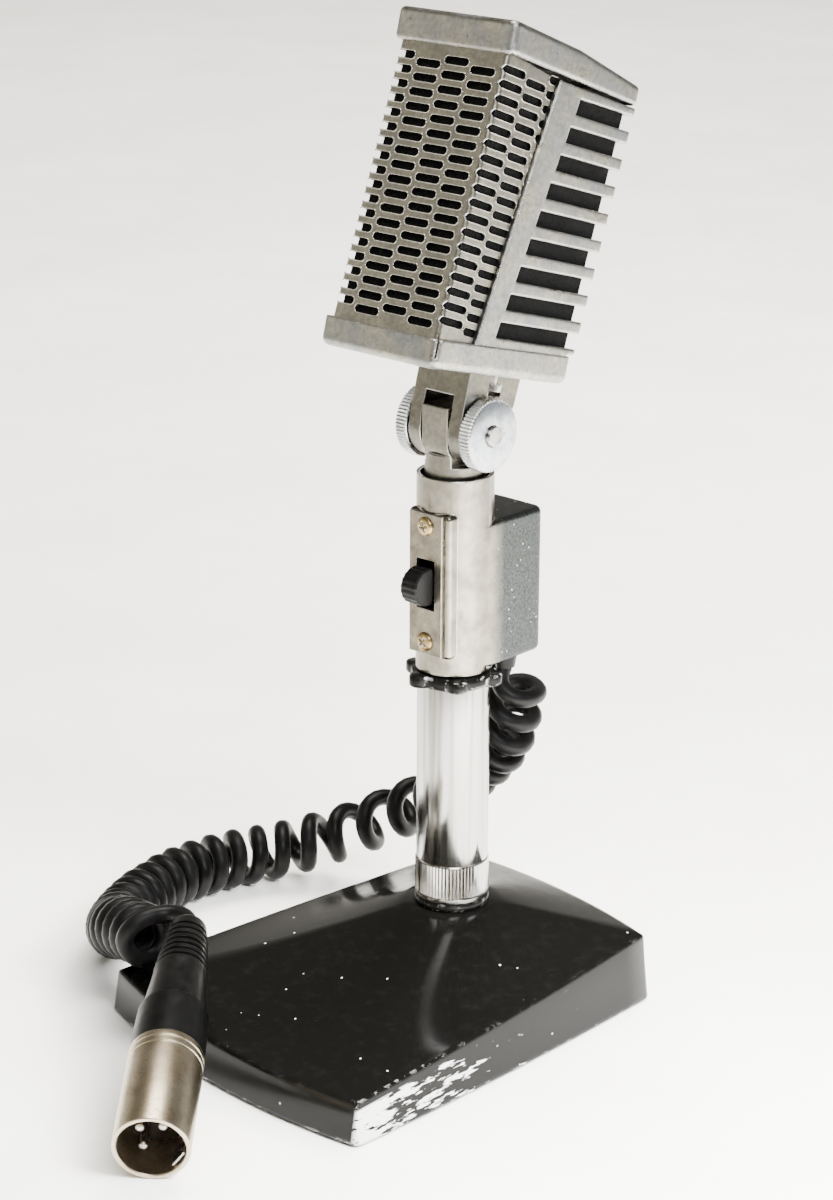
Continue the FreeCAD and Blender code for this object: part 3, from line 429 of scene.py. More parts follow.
def stove_enamel():
    """Stoved black enamel: deep gloss with faint waves, dust specks, pale edge specks that are
    partly chips and partly painted highlight, and a painted reflection low on the right skirt.
    """
    s = Surface("black_enamel", "#070706", roughness=0.16, specular=0.15)
    dust = s.times(s.spots(5.5, 0.035, 0.06), s.remap(s.noise(17.0), 0.47, 0.53))
    # Pale specks on sharp edges: partly chips, partly a painted highlight along the brim.
    chips_and_highlight, soft = s.edges(1.5, 0.86, 0.95)
    chips_and_highlight = s.times(chips_and_highlight, s.remap(s.noise(3.2, 4.0, 0.7), 0.55, 0.60))
    haze = s.remap(s.noise(4.0, 6.0, 0.72, (1.0, 1.0, 3.0)), 0.52, 0.75)
    # Painted reflection low on the right skirt, strongest at the front corner: wavy bright strokes
    # stand in for the desk mirrored in the gloss.
    where = s.add("ShaderNodeSeparateXYZ", {"Vector": s.place}).outputs
    side = s.remap(where["X"], REFLECTION_FROM_X * MM, (REFLECTION_FROM_X + 1.0) * MM)
    level = s.maths("ADD", s.times(where["Y"], REFLECTION_TOP_SLOPE), REFLECTION_TOP * MM)
    side = s.times(side, s.remap(s.maths("SUBTRACT", level, where["Z"]), 0.0, 0.7 * MM))
    fade = s.remap(where["Y"], REFLECTION_FRONT_Y * MM, REFLECTION_BACK_Y * MM, 0.20, -0.10)
    reflection_strokes = s.noise(1.9, 4.0, 0.6, (1.0, 0.22, 1.25))
    reflection_strokes = s.times(s.remap(s.maths("ADD", reflection_strokes, fade), 0.60, 0.64), side)
    tone = s.mix(haze, "#080807", "#0e0e0d")
    tone = s.mix(chips_and_highlight, s.mix(dust, tone, "#d9d6d0"), "#cfccc6")
    s.colour(s.mix(reflection_strokes, tone, "#dcdcda"))
    s.rough(s.maths("ADD", s.remap(haze, 0, 1, 0.12, 0.26), s.times(reflection_strokes, 0.3)))
    s.height([(s.noise(22.0, 2.0, 0.5), 0.05), (s.noise(0.8, 2.0), 0.003)], soft)
    return s.material


def soft_black(name, base, sheen_colour, roughness, grain, depth):
    """Moulded black rubber or plastic with a fine skin and a greyish bloom."""
    s = Surface(name, base, roughness=roughness, specular=0.16)
    bloom = s.remap(s.noise(6.0, 4.0, 0.6), 0.4, 0.7)
    s.colour(s.mix(bloom, base, sheen_colour))
    s.rough(s.remap(bloom, 0, 1, roughness - 0.06, roughness + 0.08))
    s.height([(s.noise(grain, 3.0, 0.6), depth)])
    return s.material


def acoustic_cloth():
    """Black felted cloth behind the openings: matt, with loose grey fibres."""
    s = Surface("acoustic_cloth", "#0b0b0b", roughness=0.95, specular=0.2)
    fibres = s.remap(s.noise(0.55, 5.0, 0.75), 0.45, 0.75)
    s.colour(s.mix(fibres, "#040404", "#131313"))
    s.height([(fibres, 0.25)])
    return s.material


def champagne_nickel():
    """Satin nickel on the cable connector, with a warm cast and fine specks."""
    s = Surface("champagne_nickel", "#cbbda2", metallic=1.0, roughness=0.34)
    specks = s.remap(s.noise(0.7, 3.0, 0.6), 0.55, 0.72)
    clouds = s.remap(s.noise(8.0, 4.0, 0.6), 0.4, 0.65)
    s.colour(s.mix(s.times(specks, 0.6), s.mix(clouds, "#d3c6ae", "#b9aa8f"), "#8a7d66"))
    soft = s.edges(0.3, 0.9, 0.985)[1]
    s.rough(s.remap(specks, 0, 1, 0.30, 0.42))
    s.height([(specks, 0.006)], soft)
    return s.material


cast_nickel = worn_nickel("cast_nickel", "#a8a497", "#8e9194", "#5f5c55", 0.33, 0.03, 1.0, 0.9)
sheet_nickel = worn_nickel("sheet_nickel", "#9b9688", "#85837b", "#5f5c54", 0.31, 0.012, 0.8, 0.4)
joint_nickel = worn_nickel("joint_nickel", "#827e72", "#6e6c64", "#4d4a43", 0.33, 0.012, 0.8,
                           0.4)
# Slot rims: the grille's nickel painted much lighter, a painted highlight along the rolled rims.
rim_nickel = worn_nickel("rim_nickel", "#c9c5ba", "#b4b0a6", "#8d897f", 0.26, 0.006, 0.4, 0.2)
body_nickel = body_casting()
chrome = chrome_plate()
nut_steel = rubbed_steel("nut_steel", "#dfe2e6", "#a6aeb6", 0.24, 0.5)
plate_steel = rubbed_steel("plate_steel", "#857e70", "#645e53", 0.33, 0.3)
screw_brass = rubbed_steel("screw_brass", "#c6ad79", "#7d6537", 0.3, 0.4)
bright_steel = rubbed_steel("bright_steel", "#d8d6d2", "#9d9992", 0.25, 0.4)
enamel = stove_enamel()
cord_rubber = soft_black("cord_rubber", "#050505", "#0c0b0b", 0.42, 0.4, 0.01)
boot_rubber = soft_black("boot_rubber", "#050505", "#0d0c0b", 0.36, 0.5, 0.012)
black_plastic = soft_black("black_plastic", "#040404", "#090909", 0.40, 0.5, 0.01)
insert_plastic = soft_black("insert_plastic", "#120b08", "#24150e", 0.45, 0.6, 0.02)
cloth = acoustic_cloth()
nickel = champagne_nickel()


# ---------------------------------------------------------------- mesh helpers
def painted(mesh, matter):
    mesh.materials.clear()
    mesh.materials.append(matter)


def finished(name, mesh, matter, body, replaced=(), crease=32.0):
    """Turns a mesh into a piece that rides on a body and may stand for CAD nodes."""
    mesh.shade_smooth()
    mesh.set_sharp_from_angle(angle=math.radians(crease))
    painted(mesh, matter)
    piece = linked(name, mesh)
    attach(piece, body)
    if replaced:
        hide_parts(*replaced)
    return piece


SHARP = math.radians(32.0)


def softened(node_name, width, matter, body):
    """CAD node remade with small rounded edges: flat parts merged, then sharp edges cut."""
    bm = loaded(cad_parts[node_name].data)
    bmesh.ops.remove_doubles(bm, verts=bm.verts, dist=20 * MERGE)
    bmesh.ops.dissolve_limit(bm, angle_limit=math.radians(0.6), verts=bm.verts, edges=bm.edges)
    bm.normal_update()
    sharp = [e for e in bm.edges if len(e.link_faces) == 2 and e.calc_face_angle(0.0) > SHARP]
    bmesh.ops.bevel(bm, geom=sharp, offset=width * MM, segments=2, profile=0.5,
                    affect="EDGES", clamp_overlap=True, loop_slide=True)
    bmesh.ops.remove_doubles(bm, verts=bm.verts, dist=MERGE)
    bmesh.ops.triangulate(bm, faces=[f for f in bm.faces if len(f.verts) > 4])
    piece = finished(node_name + "_soft", plain(bm, node_name), matter, body,
                     [node_name], 38.0)
    even = piece.modifiers.new("even shading", "WEIGHTED_NORMAL")
    even.keep_sharp = True


def mesh_from(points, faces):
    """Closed mesh from millimetre points, its faces turned outwards."""
    mesh = bpy.data.meshes.new("shape")
    mesh.from_pydata([tuple(p * MM for p in q) for q in points], [], faces)
    bm = loaded(mesh)
    bmesh.ops.remove_doubles(bm, verts=bm.verts, dist=MERGE)
    bmesh.ops.recalc_face_normals(bm, faces=bm.faces)
    bm.to_mesh(mesh)
    bm.free()
    return mesh


def band(around, n):
    """Faces between neighbouring sections of n points each, all the way round."""
    return [(i * n + k, (i + 1) % around * n + k, (i + 1) % around * n + k + 1, i * n + k + 1)
            for i in range(around) for k in range(n - 1)]


def turned(profile, around=48, place=None):
    """Solid of revolution about Z from (radius, z) points; a closed profile is a ring."""
    points = []
    for i in range(around):
        a = math.tau * i / around
        points += [(r * math.cos(a), r * math.sin(a), z) for r, z in profile]
    mesh = mesh_from(points, band(around, len(profile)))
    if place is not None:
        mesh.transform(place)
    return mesh


def joined(meshes):
    """One mesh from several."""
    return plain(loaded(*meshes))


def arc_points(cx, cz, r, start, end, steps):
    """Points of a quarter or other arc in a (radius, z) profile, angles in degrees."""
    return [(cx + r * math.cos(math.radians(start + (end - start) * i / steps)),
             cz + r * math.sin(math.radians(start + (end - start) * i / steps)))
            for i in range(steps + 1)]


def box_mesh(low, high, rounding, segments=2):
    """Rounded block between two corners."""
    bm = bmesh.new()
    bmesh.ops.create_cube(bm, size=1.0)
    for v in bm.verts:
        v.co = Vector([(l + (h - l) * (c + 0.5)) * MM for l, h, c in zip(low, high, v.co)])
    bmesh.ops.bevel(bm, geom=bm.edges[:], offset=rounding * MM, segments=segments, profile=0.5,
                    affect="EDGES")
    return plain(bm)


# ---------------------------------------------------------------- geometry node helpers
class Tree(Nodes):
    """A geometry node group with named inputs."""

    KINDS = {float: "NodeSocketFloat", int: "NodeSocketInt"}

    def __init__(self, name, **inputs):
        super().__init__(bpy.data.node_groups.new(name, "GeometryNodeTree"))
        self.values = {}
        face = self.tree.interface
        face.new_socket("Geometry", in_out="OUTPUT", socket_type="NodeSocketGeometry")
        for key, value in inputs.items():
            label = key.replace("_", " ")
            kind = self.KINDS.get(type(value), "NodeSocketMaterial")
            socket = face.new_socket(label, in_out="INPUT", socket_type=kind)
            self.values[label] = (socket.identifier, value)
        self.given = self.nodes.new("NodeGroupInput").outputs
        self.result = self.nodes.new("NodeGroupOutput").inputs["Geometry"]

    def finish(self, geometry):
        """Real, painted geometry as the result."""
        real = self.add("GeometryNodeRealizeInstances", {"Geometry": geometry}).outputs[0]
        done = self.add("GeometryNodeSetMaterial", {"Geometry": real,
                                                    "Material": self.given["Material"]})
        self.links.new(done.outputs[0], self.result)

    def mesh(self, place=None):
        """Evaluates the group on an empty mesh and returns the plain result."""
        holder = linked("maker", bpy.data.meshes.new("maker"))
        maker = holder.modifiers.new("maker", "NODES")
        maker.node_group = self.tree
        for identifier, value in self.values.values():
            maker[identifier] = value
        seen = holder.evaluated_get(bpy.context.evaluated_depsgraph_get())
        mesh = bpy.data.meshes.new_from_object(seen)
        holder.modifiers.remove(maker)
        bpy.data.objects.remove(holder)
        if place is not None:
            mesh.transform(place)
        return mesh


def ring_of_teeth(name, count, radius, width, depth, height, base, matter):
    """Straight knurl: diamond bars round a ring, each with one edge outwards."""
    tree = Tree(name, Count=count, Radius=radius * MM, Tooth_width=width * MM,
                Tooth_depth=depth * MM, Height=height * MM, Base=base * MM, Material=matter)
    give = tree.given
    angle = tree.maths("MULTIPLY", tree.add("GeometryNodeInputIndex").outputs[0],
                       tree.maths("DIVIDE", math.tau, give["Count"]))
    middle = tree.maths("ADD", give["Base"], tree.maths("MULTIPLY", give["Height"], 0.5))
    spot = tree.add("ShaderNodeCombineXYZ", {
        "X": tree.maths("MULTIPLY", give["Radius"], tree.maths("COSINE", angle)),
        "Y": tree.maths("MULTIPLY", give["Radius"], tree.maths("SINE", angle)), "Z": middle})
    points = tree.add("GeometryNodePoints", {"Count": give["Count"], "Position": spot.outputs[0]})
    tooth = tree.add("GeometryNodeMeshCylinder", {"Vertices": 4, "Radius": 1.0, "Depth": 1.0})
    turned_by = tree.add("ShaderNodeCombineXYZ", {"Z": angle}).outputs[0]
    size = tree.add("ShaderNodeCombineXYZ", {"X": give["Tooth depth"], "Y": give["Tooth width"],
                                             "Z": give["Height"]}).outputs[0]
    placed = tree.add("GeometryNodeInstanceOnPoints", {
        "Points": points.outputs[0], "Instance": tooth.outputs["Mesh"], "Rotation": turned_by,
        "Scale": size})
    tree.finish(placed.outputs[0])
    return tree


def rolled_rims(name, columns, rows, column_pitch, column_rise, row_pitch, stagger, length,
                height, bead, matter):
    """Rolled rims of staggered oblong openings, laid out in X and Z from the top left."""
    tree = Tree(name, Columns=columns, Rows=rows, Column_pitch=column_pitch * MM,
                Column_rise=column_rise * MM, Row_pitch=row_pitch * MM,
                Stagger=stagger * MM, Length=length * MM, Height=height * MM,
                Bead=bead * MM, Material=matter)
    give = tree.given
    index = tree.add("GeometryNodeInputIndex").outputs[0]
    column = tree.maths("FLOOR", tree.maths("DIVIDE", tree.maths("ADD", index, 0.5),
                                            give["Rows"]))
    row = tree.maths("SUBTRACT", index, tree.maths("MULTIPLY", column, give["Rows"]))
    odd = tree.maths("MODULO", column, 2.0)
    drop = tree.maths("SUBTRACT", tree.maths("MULTIPLY", odd, give["Stagger"]),
                      tree.maths("MULTIPLY", row, give["Row pitch"]))
    drop = tree.maths("ADD", drop, tree.maths("MULTIPLY", column, give["Column rise"]))
    spot = tree.add("ShaderNodeCombineXYZ", {
        "X": tree.maths("MULTIPLY", column, give["Column pitch"]), "Z": drop})
    points = tree.add("GeometryNodePoints", {
        "Count": tree.maths("MULTIPLY", give["Columns"], give["Rows"]),
        "Position": spot.outputs[0]})
    outline = tree.add("GeometryNodeCurvePrimitiveQuadrilateral", {
        "Width": give["Length"], "Height": give["Height"]})
    half = tree.maths("MULTIPLY", give["Height"], 0.499)
    rounded = tree.add("GeometryNodeFilletCurve", {"Curve": outline.outputs[0], "Count": 5,
                                                   "Radius": half}, mode="POLY")
    wire = tree.add("GeometryNodeCurvePrimitiveCircle", {"Resolution": 8, "Radius": give["Bead"]})
    rim = tree.add("GeometryNodeCurveToMesh", {"Curve": rounded.outputs[0],
                                               "Profile Curve": wire.outputs[0]})
    upright = tree.add("GeometryNodeTransform", {
        "Geometry": rim.outputs[0], "Rotation": (math.pi / 2, 0.0, 0.0)})
    placed = tree.add("GeometryNodeInstanceOnPoints", {"Points": points.outputs[0],
                                                       "Instance": upright.outputs[0]})
    tree.finish(placed.outputs[0])
    return tree


# ---------------------------------------------------------------- CAD nodes that stay
STAYING = {
    cast_nickel: ("rear_cover",),
    sheet_nickel: ("front_grille",),
    bright_steel: ("base_plate", "base_screws", "post_rod", "post_nut", "post_washer",
                   "rear_cover_screws", "pivot_bolt", "bracket_screws", "head_tie_screws",
                   "capsule", "capsule_stem", "plug_latch", "transformer"),
    boot_rubber: ("base_feet", "capsule_mount", "cord_gland"),
    black_plastic: ("switch_frame",),
    insert_plastic: ("plug_insert",),
    cloth: ("cloth_liner",),
}
for matter, names in STAYING.items():
    for node_name in names:
        painted(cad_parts[node_name].data, matter)

for node_name, width, matter, body, slot in (
        ("head_top_cap", 0.45, cast_nickel, "head", "cast_nickel"),
        ("head_bottom_cap", 0.45, cast_nickel, "head", "cast_nickel"),
        ("rear_frame", 0.3, cast_nickel, "head", "cast_nickel"),
        ("head_bracket", 0.3, joint_nickel, "head", "sheet_nickel"),
        ("tilt_tongue", 0.3, joint_nickel, "stand", "sheet_nickel"),
        ("switch_body", 0.5, body_nickel, "stand", "cast_nickel"),
        ("switch_plate", 0.15, plate_steel, "stand", "steel_plate")):
    softened(node_name, width, matter, body)

# ---------------------------------------------------------------- base casting
FRONT_HALF, BACK_HALF, FRONT_Y, BACK_Y = 50.5, 38.9, -75.4, 36.7
BOWS = (6.6, 1.2, 4.0, 1.2)         # how far front, right, back and left sides bulge
CORNER_CUT, DRAFT, RIM_Z, EDGE_FRONT_Z, EDGE_BACK_Z = 1.8, 1.8, 0.6, 11.4, 18.9
FOOT_Z, FOOT_R, BASE_TURN = 26.9, 12.0, math.radians(-6.1)
WALL, INNER_Z = 2.6, 1.8            # the wall's thickness and the inner line's height
HOLLOW_FRONT, HOLLOW_BACK = 1.45, 1.0   # power of the top's rise: above 1 it is hollow
SIDE_STEPS, FACET_STEPS, BRIM_STEPS, BRIM_SOFT = 14, 18, 4, 0.9


def base_outline():
    """Points round the base and, for each, the outward direction to its side."""
    corners = [Vector((-FRONT_HALF, FRONT_Y)), Vector((FRONT_HALF, FRONT_Y)),
               Vector((BACK_HALF, BACK_Y)), Vector((-BACK_HALF, BACK_Y))]
    found = []
    for i, bow in enumerate(BOWS):
        a, b = corners[i], corners[(i + 1) % 4]
        out = Vector(((b - a).y, -(b - a).x)).normalized()
        trim = CORNER_CUT / (b - a).length
        for k in range(SIDE_STEPS + 1):
            u = trim + (1 - 2 * trim) * k / SIDE_STEPS
            found.append((a + (b - a) * u + out * (bow * 4 * u * (1 - u)), out))
        after = corners[(i + 2) % 4] - b
        swing = Vector((after.y, -after.x)).normalized()
        middle = found[-1][0] + (b - found[-1][0]) * 0.62
        middle = middle.lerp(b + after.normalized() * CORNER_CUT, 0.30)
        found.append((middle, (out + swing).normalized()))
    return found


def base_section(p, out):
    """Points of the casting's wall from the inner floor line up to the post's foot."""
    brim = p - out * DRAFT
    backward = (brim.y - FRONT_Y) / (BACK_Y - FRONT_Y)
    z = EDGE_FRONT_Z + (EDGE_BACK_Z - EDGE_FRONT_Z) * backward
    power = HOLLOW_FRONT + (HOLLOW_BACK - HOLLOW_FRONT) * backward
    foot = brim.normalized() * FOOT_R

    def facet(t):
        q = brim.lerp(foot, t)
        return Vector((q.x, q.y, z + (FOOT_Z - z) * t ** power))

    top, low = Vector((brim.x, brim.y, z)), Vector((p.x, p.y, RIM_Z))
    first = BRIM_SOFT / (brim - foot).length
    before = top + (low - top).normalized() * BRIM_SOFT
    after = facet(first)
    inside = p - out * WALL
    rows = [Vector((inside.x, inside.y, INNER_Z)), Vector((inside.x, inside.y, RIM_Z)),
            low - Vector((out.x, out.y, 0)) * 0.3, low + Vector((0, 0, 0.3))]
    rows += [rows[-1].lerp(before, t) for t in (0.33, 0.66)]
    for k in range(BRIM_STEPS + 1):
        t = k / BRIM_STEPS
        rows.append(before * (1 - t) ** 2 + top * (2 * t * (1 - t)) + after * t * t)
    rows += [facet(first + (1 - first) * (k / FACET_STEPS) ** 1.3)
             for k in range(1, FACET_STEPS + 1)]
    return rows


def base_mesh():
    """All the sections joined round, closed under the post and on the inside."""
    ring = [base_section(p, out) for p, out in base_outline()]
    count, rows = len(ring), len(ring[0])
    points = [q for section in ring for q in section]
    faces = band(count, rows)
    faces.append([i * rows + rows - 1 for i in range(count)])
    faces.append([i * rows for i in reversed(range(count))])
    mesh = mesh_from(points, faces)
    mesh.transform(Matrix.Rotation(BASE_TURN, 4, "Z"))
    return mesh


finished("base_casting", base_mesh(), enamel, "stand", ["base_shell"], 26.0)

# ---------------------------------------------------------------- post, collar, lock ring
POST_R, COLLAR_R, RING_Z, COLLAR_Z, TUBE_Z, TUBE_TOP = 9.5, 9.75, 27.0, 29.2, 39.9, 89.3
TUBE_BORE, ROD_BORE, LOCK_BORE = 8.0, 4.3, 4.4
tube = turned([(TUBE_BORE, TUBE_Z), (TUBE_BORE, TUBE_TOP - 0.2), (TUBE_BORE + 0.2, TUBE_TOP)]
              + arc_points(POST_R - 0.4, TUBE_TOP - 0.4, 0.4, 90, 0, 3)
              + arc_points(POST_R - 0.3, TUBE_Z + 0.3, 0.3, 0, -90, 3)
              + [(TUBE_BORE, TUBE_Z)], 96)
finished("post_tube_polished", tube, chrome, "stand", ["post_tube"])

ring = turned([(ROD_BORE, RING_Z)] + arc_points(COLLAR_R - 0.4, RING_Z + 0.5, 0.5, -90, 0, 3)
              + arc_points(COLLAR_R - 0.5, RING_Z + 1.5, 0.6, 0, 90, 3)
              + [(ROD_BORE, RING_Z + 2.1), (ROD_BORE, RING_Z)], 72)
finished("foot_ring_enamel", ring, enamel, "stand", ["foot_ring"])

LIP_TOP, GRIP_TOP, GRIP_R = COLLAR_Z + 1.6, TUBE_Z - 0.15, COLLAR_R - 0.45
grip = turned([(ROD_BORE, COLLAR_Z)] + arc_points(COLLAR_R - 0.3, COLLAR_Z + 0.3, 0.3, -90, 0, 3)
              + [(COLLAR_R, LIP_TOP - 0.3), (GRIP_R, LIP_TOP), (GRIP_R, GRIP_TOP - 0.5),
                 (COLLAR_R - 0.8, GRIP_TOP), (ROD_BORE, GRIP_TOP), (ROD_BORE, COLLAR_Z)], 96)
COLLAR_TEETH, COLLAR_TOOTH, TOOTH_FILL = 64, 0.42, 0.92
collar_teeth = ring_of_teeth("collar_knurl", COLLAR_TEETH, COLLAR_R - COLLAR_TOOTH,
                             math.pi * COLLAR_R / COLLAR_TEETH * TOOTH_FILL, COLLAR_TOOTH,
                             GRIP_TOP - LIP_TOP - 0.35, LIP_TOP + GAP, chrome)
finished("knurled_collar_turned", joined([grip, collar_teeth.mesh()]), chrome, "collar",
         ["knurled_collar"])

STAR_R, STAR_T, STAR_Z = 13.5, 3.0, TUBE_TOP + 0.3
LOBES, LOBE_H, LOBE_TURN, LOBE_ROUND = 6, 2.4, math.radians(17), 0.75


def star_mesh():
    """Thin ring with rounded lobes; the outline dips between them."""
    count, profile = 180, [(-0.45, 0.0), (0.0, 0.45), (0.0, STAR_T - 0.5), (-0.15, STAR_T - 0.15),
                           (-0.5, STAR_T)]
    points = []
    for i in range(count):
        a = math.tau * i / count
        lobe = max(0.0, math.cos(LOBES * (a - LOBE_TURN)))
        r = STAR_R - LOBE_H + LOBE_H * lobe ** LOBE_ROUND
        rim = [(r + d, z) for d, z in profile]
        for radius, z in [(LOCK_BORE, 0.0)] + rim + [(LOCK_BORE, STAR_T), (LOCK_BORE, 0.0)]:
            points.append((radius * math.cos(a), radius * math.sin(a), STAR_Z + z))
    return mesh_from(points, band(count, len(profile) + 3))


finished("star_lock_ring_enamel", star_mesh(), enamel, "lock_ring",
         ["star_lock_ring"])

# ---------------------------------------------------------------- switch: screws, slider
PLATE_Z, FRONT_FACE, SCREW_PITCH = 117.7, -11.12, 30.8
HEAD_R, HEAD_H, HEAD_EDGE, CROSS_L, CROSS_W, CROSS_D = 2.5, 1.15, 0.2, 2.9, 0.62, 0.8


def cross_head_screw(z, turn):
    """Round-head screw with a real cross recess, facing the front."""
    head = linked("head", turned([(0.0, 0.0), (HEAD_R, 0.0), (HEAD_R, HEAD_EDGE)]
                                 + [(HEAD_R * math.cos(a),
                                     HEAD_EDGE + (HEAD_H - HEAD_EDGE) * math.sin(a))
                                    for a in (math.radians(15 * k) for k in range(1, 6))]
                                 + [(0.0, HEAD_H)], 40))
    for quarter in (0, 1):
        bar = box_mesh((-CROSS_L / 2, -CROSS_W / 2, HEAD_H - CROSS_D),
                       (CROSS_L / 2, CROSS_W / 2, HEAD_H + 1.0), 0.05, 1)
        bar.transform(Matrix.Rotation(math.radians(90 * quarter + turn), 4, "Z"))
        tool = linked("tool", bar)
        cut = head.modifiers.new("cut", "BOOLEAN")
        cut.operation, cut.object, cut.solver = "DIFFERENCE", tool, "EXACT"
        seen = head.evaluated_get(bpy.context.evaluated_depsgraph_get())
        made = bpy.data.meshes.new_from_object(seen)
        head.modifiers.remove(cut)
        head.data = made
        bpy.data.objects.remove(tool)
    mesh = head.data
    bpy.data.objects.remove(head)
    mesh.transform(Matrix.Translation(Vector((0, FRONT_FACE, z)) * MM)
                   @ Matrix.Rotation(math.pi / 2, 4, "X"))
    return mesh


screws = joined([cross_head_screw(PLATE_Z + SCREW_PITCH / 2, 20.0),
                 cross_head_screw(PLATE_Z - SCREW_PITCH / 2, 52.0)])
finished("plate_screws_turned", screws, screw_brass, "stand", ["plate_screws"])

SLIDER_R, SLIDER_W, SLIDER_REACH, SLIDER_RIBS, RIB_DEPTH = 4.8, 5.4, 6.4, 9, 0.16
SHANK_HALF_W, SHANK_HALF_H = 2.3, 3.0


def slider_mesh():
    """Half-round knob with shallow grip ribs across its nose, on a square shank."""
    back, points, faces = FRONT_FACE - 0.3, [], []
    centre_y = back - (SLIDER_REACH - SLIDER_R)
    steps = SLIDER_RIBS * 8
    outline = [(back, SLIDER_R - 0.5), (back - 0.2, SLIDER_R)]
    for k in range(steps + 1):
        a = math.radians(90 - 180 * k / steps)
        rib = RIB_DEPTH * (1 - math.cos(math.tau * k / steps * SLIDER_RIBS)) / 2
        r = SLIDER_R - rib
        outline.append((centre_y - r * math.cos(a), r * math.sin(a)))
    outline += [(back - 0.2, -SLIDER_R), (back, -SLIDER_R + 0.5)]
    n = len(outline)
    widths = [(-SLIDER_W / 2, 0.93), (-SLIDER_W / 2 + 0.35, 1.0), (SLIDER_W / 2 - 0.35, 1.0),
              (SLIDER_W / 2, 0.93)]
    for x, shrink in widths:
        points += [(x, back + (y - back) * shrink, PLATE_Z + z * shrink) for y, z in outline]
    for row in range(len(widths) - 1):
        for k in range(n):
            j = (k + 1) % n
            faces.append((row * n + k, row * n + j, (row + 1) * n + j, (row + 1) * n + k))
    faces.append(list(range(n)))
    faces.append(list(range((len(widths) - 1) * n, len(widths) * n)))
    shank = box_mesh((-SHANK_HALF_W, back - 0.4, PLATE_Z - SHANK_HALF_H),
                     (SHANK_HALF_W, back + 4.6, PLATE_Z + SHANK_HALF_H), 0.2)
    return joined([mesh_from(points, faces), shank])


finished("switch_slider_ribbed", slider_mesh(), black_plastic, "slider",
         ["switch_slider"])

# ---------------------------------------------------------------- thumb nuts
PIVOT_Z, NUT_X, NUT_R, NUT_T, BOLT_R, NUT_TEETH, NUT_TOOTH = 156.9, 9.0, 9.4, 3.5, 2.55, 62, 0.4


def thumb_nut(name, side, body, node):
    """Round nut: bright faces with a chamfer, straight knurl on the rim."""
    place = (Matrix.Translation(Vector((side * NUT_X, 0, PIVOT_Z)) * MM)
             @ Matrix.Rotation(side * math.pi / 2, 4, "Y"))
    disc = turned([(BOLT_R, 0.0), (NUT_R - 0.75, 0.0), (NUT_R - 0.4, 0.3),
                   (NUT_R - 0.4, NUT_T - 0.4), (NUT_R - 0.75, NUT_T - 0.1),
                   (NUT_R - 0.95, NUT_T), (BOLT_R + 0.35, NUT_T), (BOLT_R, NUT_T - 0.35),
                   (BOLT_R, 0.0)], 96)
    teeth = ring_of_teeth(name + "_knurl", NUT_TEETH, NUT_R - NUT_TOOTH,
                          math.pi * NUT_R / NUT_TEETH * TOOTH_FILL, NUT_TOOTH, NUT_T - 0.45, 0.22,
                          nut_steel)
    whole = joined([disc, teeth.mesh()])
    whole.transform(place)
    finished(name, whole, nut_steel, body, [node])


thumb_nut("right_thumb_nut", 1, "nut_right", "thumb_nut_right")
thumb_nut("left_thumb_nut", -1, "nut_left", "thumb_nut_left")

# ---------------------------------------------------------------- head: rolled slot rims
TILT = math.radians(15.4)
HEAD = Matrix.Translation((0, 0, PIVOT_Z * MM)) @ Matrix.Rotation(-TILT, 4, "X")
GRILLE_HALF, SLOT_L, SLOT_H, SLOT_PITCH, COLUMN_PITCH, ROWS = 17.5, 8.1, 2.2, 3.61, 8.8, 18
FRONT_LOW, FRONT_HIGH, BAR_LOW, BAR_HIGH = -34.1, -27.4, -20.9, -6.6
LOW_W, SHEET_H = 20.0, 72.0         # lower cap's height over the pivot, and up to the top cap
BEAD, ROUND_CORNER = 0.15, 1.3


def depth_at(w, low, high):
    """Depth of a sloping edge at height w, given at the two caps."""
    return low + (high - low) * (w - LOW_W) / SHEET_H


def sheared(origin, x_axis, y_axis, z_axis):
    """Matrix that takes a flat layout in X and Z on to a leaning face."""
    m = Matrix((x_axis, y_axis, z_axis)).transposed().to_4x4()
    return Matrix.Translation(Vector(origin) * MM) @ m


def trimmed(mesh, *planes):
    """Mesh cut off beyond each plane, given by a point and an outward direction."""
    bm = loaded(mesh)
    for point, outward in planes:
        bmesh.ops.bisect_plane(bm, geom=bm.verts[:] + bm.edges[:] + bm.faces[:], dist=MERGE,
                               plane_co=Vector(point) * MM, plane_no=outward, clear_outer=True)
    bm.to_mesh(mesh)
    bm.free()
    return mesh


LEAN = math.atan2(FRONT_HIGH - FRONT_LOW, SHEET_H)
BAR_LEAN = math.atan2(BAR_HIGH - BAR_LOW, SHEET_H)
up_sheet = Vector((0, math.sin(LEAN), math.cos(LEAN)))
into_sheet = Vector((0, math.cos(LEAN), -math.sin(LEAN)))
towards_bar = Vector((0, math.cos(BAR_LEAN), -math.sin(BAR_LEAN)))
FRONT_START_X, FRONT_TOP, FRONT_STAGGER = 10.9, 86.95, 1.5
front_start = (FRONT_START_X, depth_at(FRONT_TOP, FRONT_LOW, FRONT_HIGH), FRONT_TOP)
front_rims = rolled_rims("front_rims", 4, ROWS, -COLUMN_PITCH, 0.0, SLOT_PITCH / math.cos(LEAN),
                         FRONT_STAGGER / math.cos(LEAN), SLOT_L, SLOT_H, BEAD, rim_nickel).mesh(
    sheared(front_start, X, into_sheet, up_sheet))
trimmed(front_rims, ((-GRILLE_HALF + ROUND_CORNER, 0, 0), -X))
SIDE_PITCH, SIDE_STAGGER, SIDE_TOP, SIDE_INSET, MIDDLE_W = 8.45, -1.9, 88.1, 4.2, 50
side_meshes = []
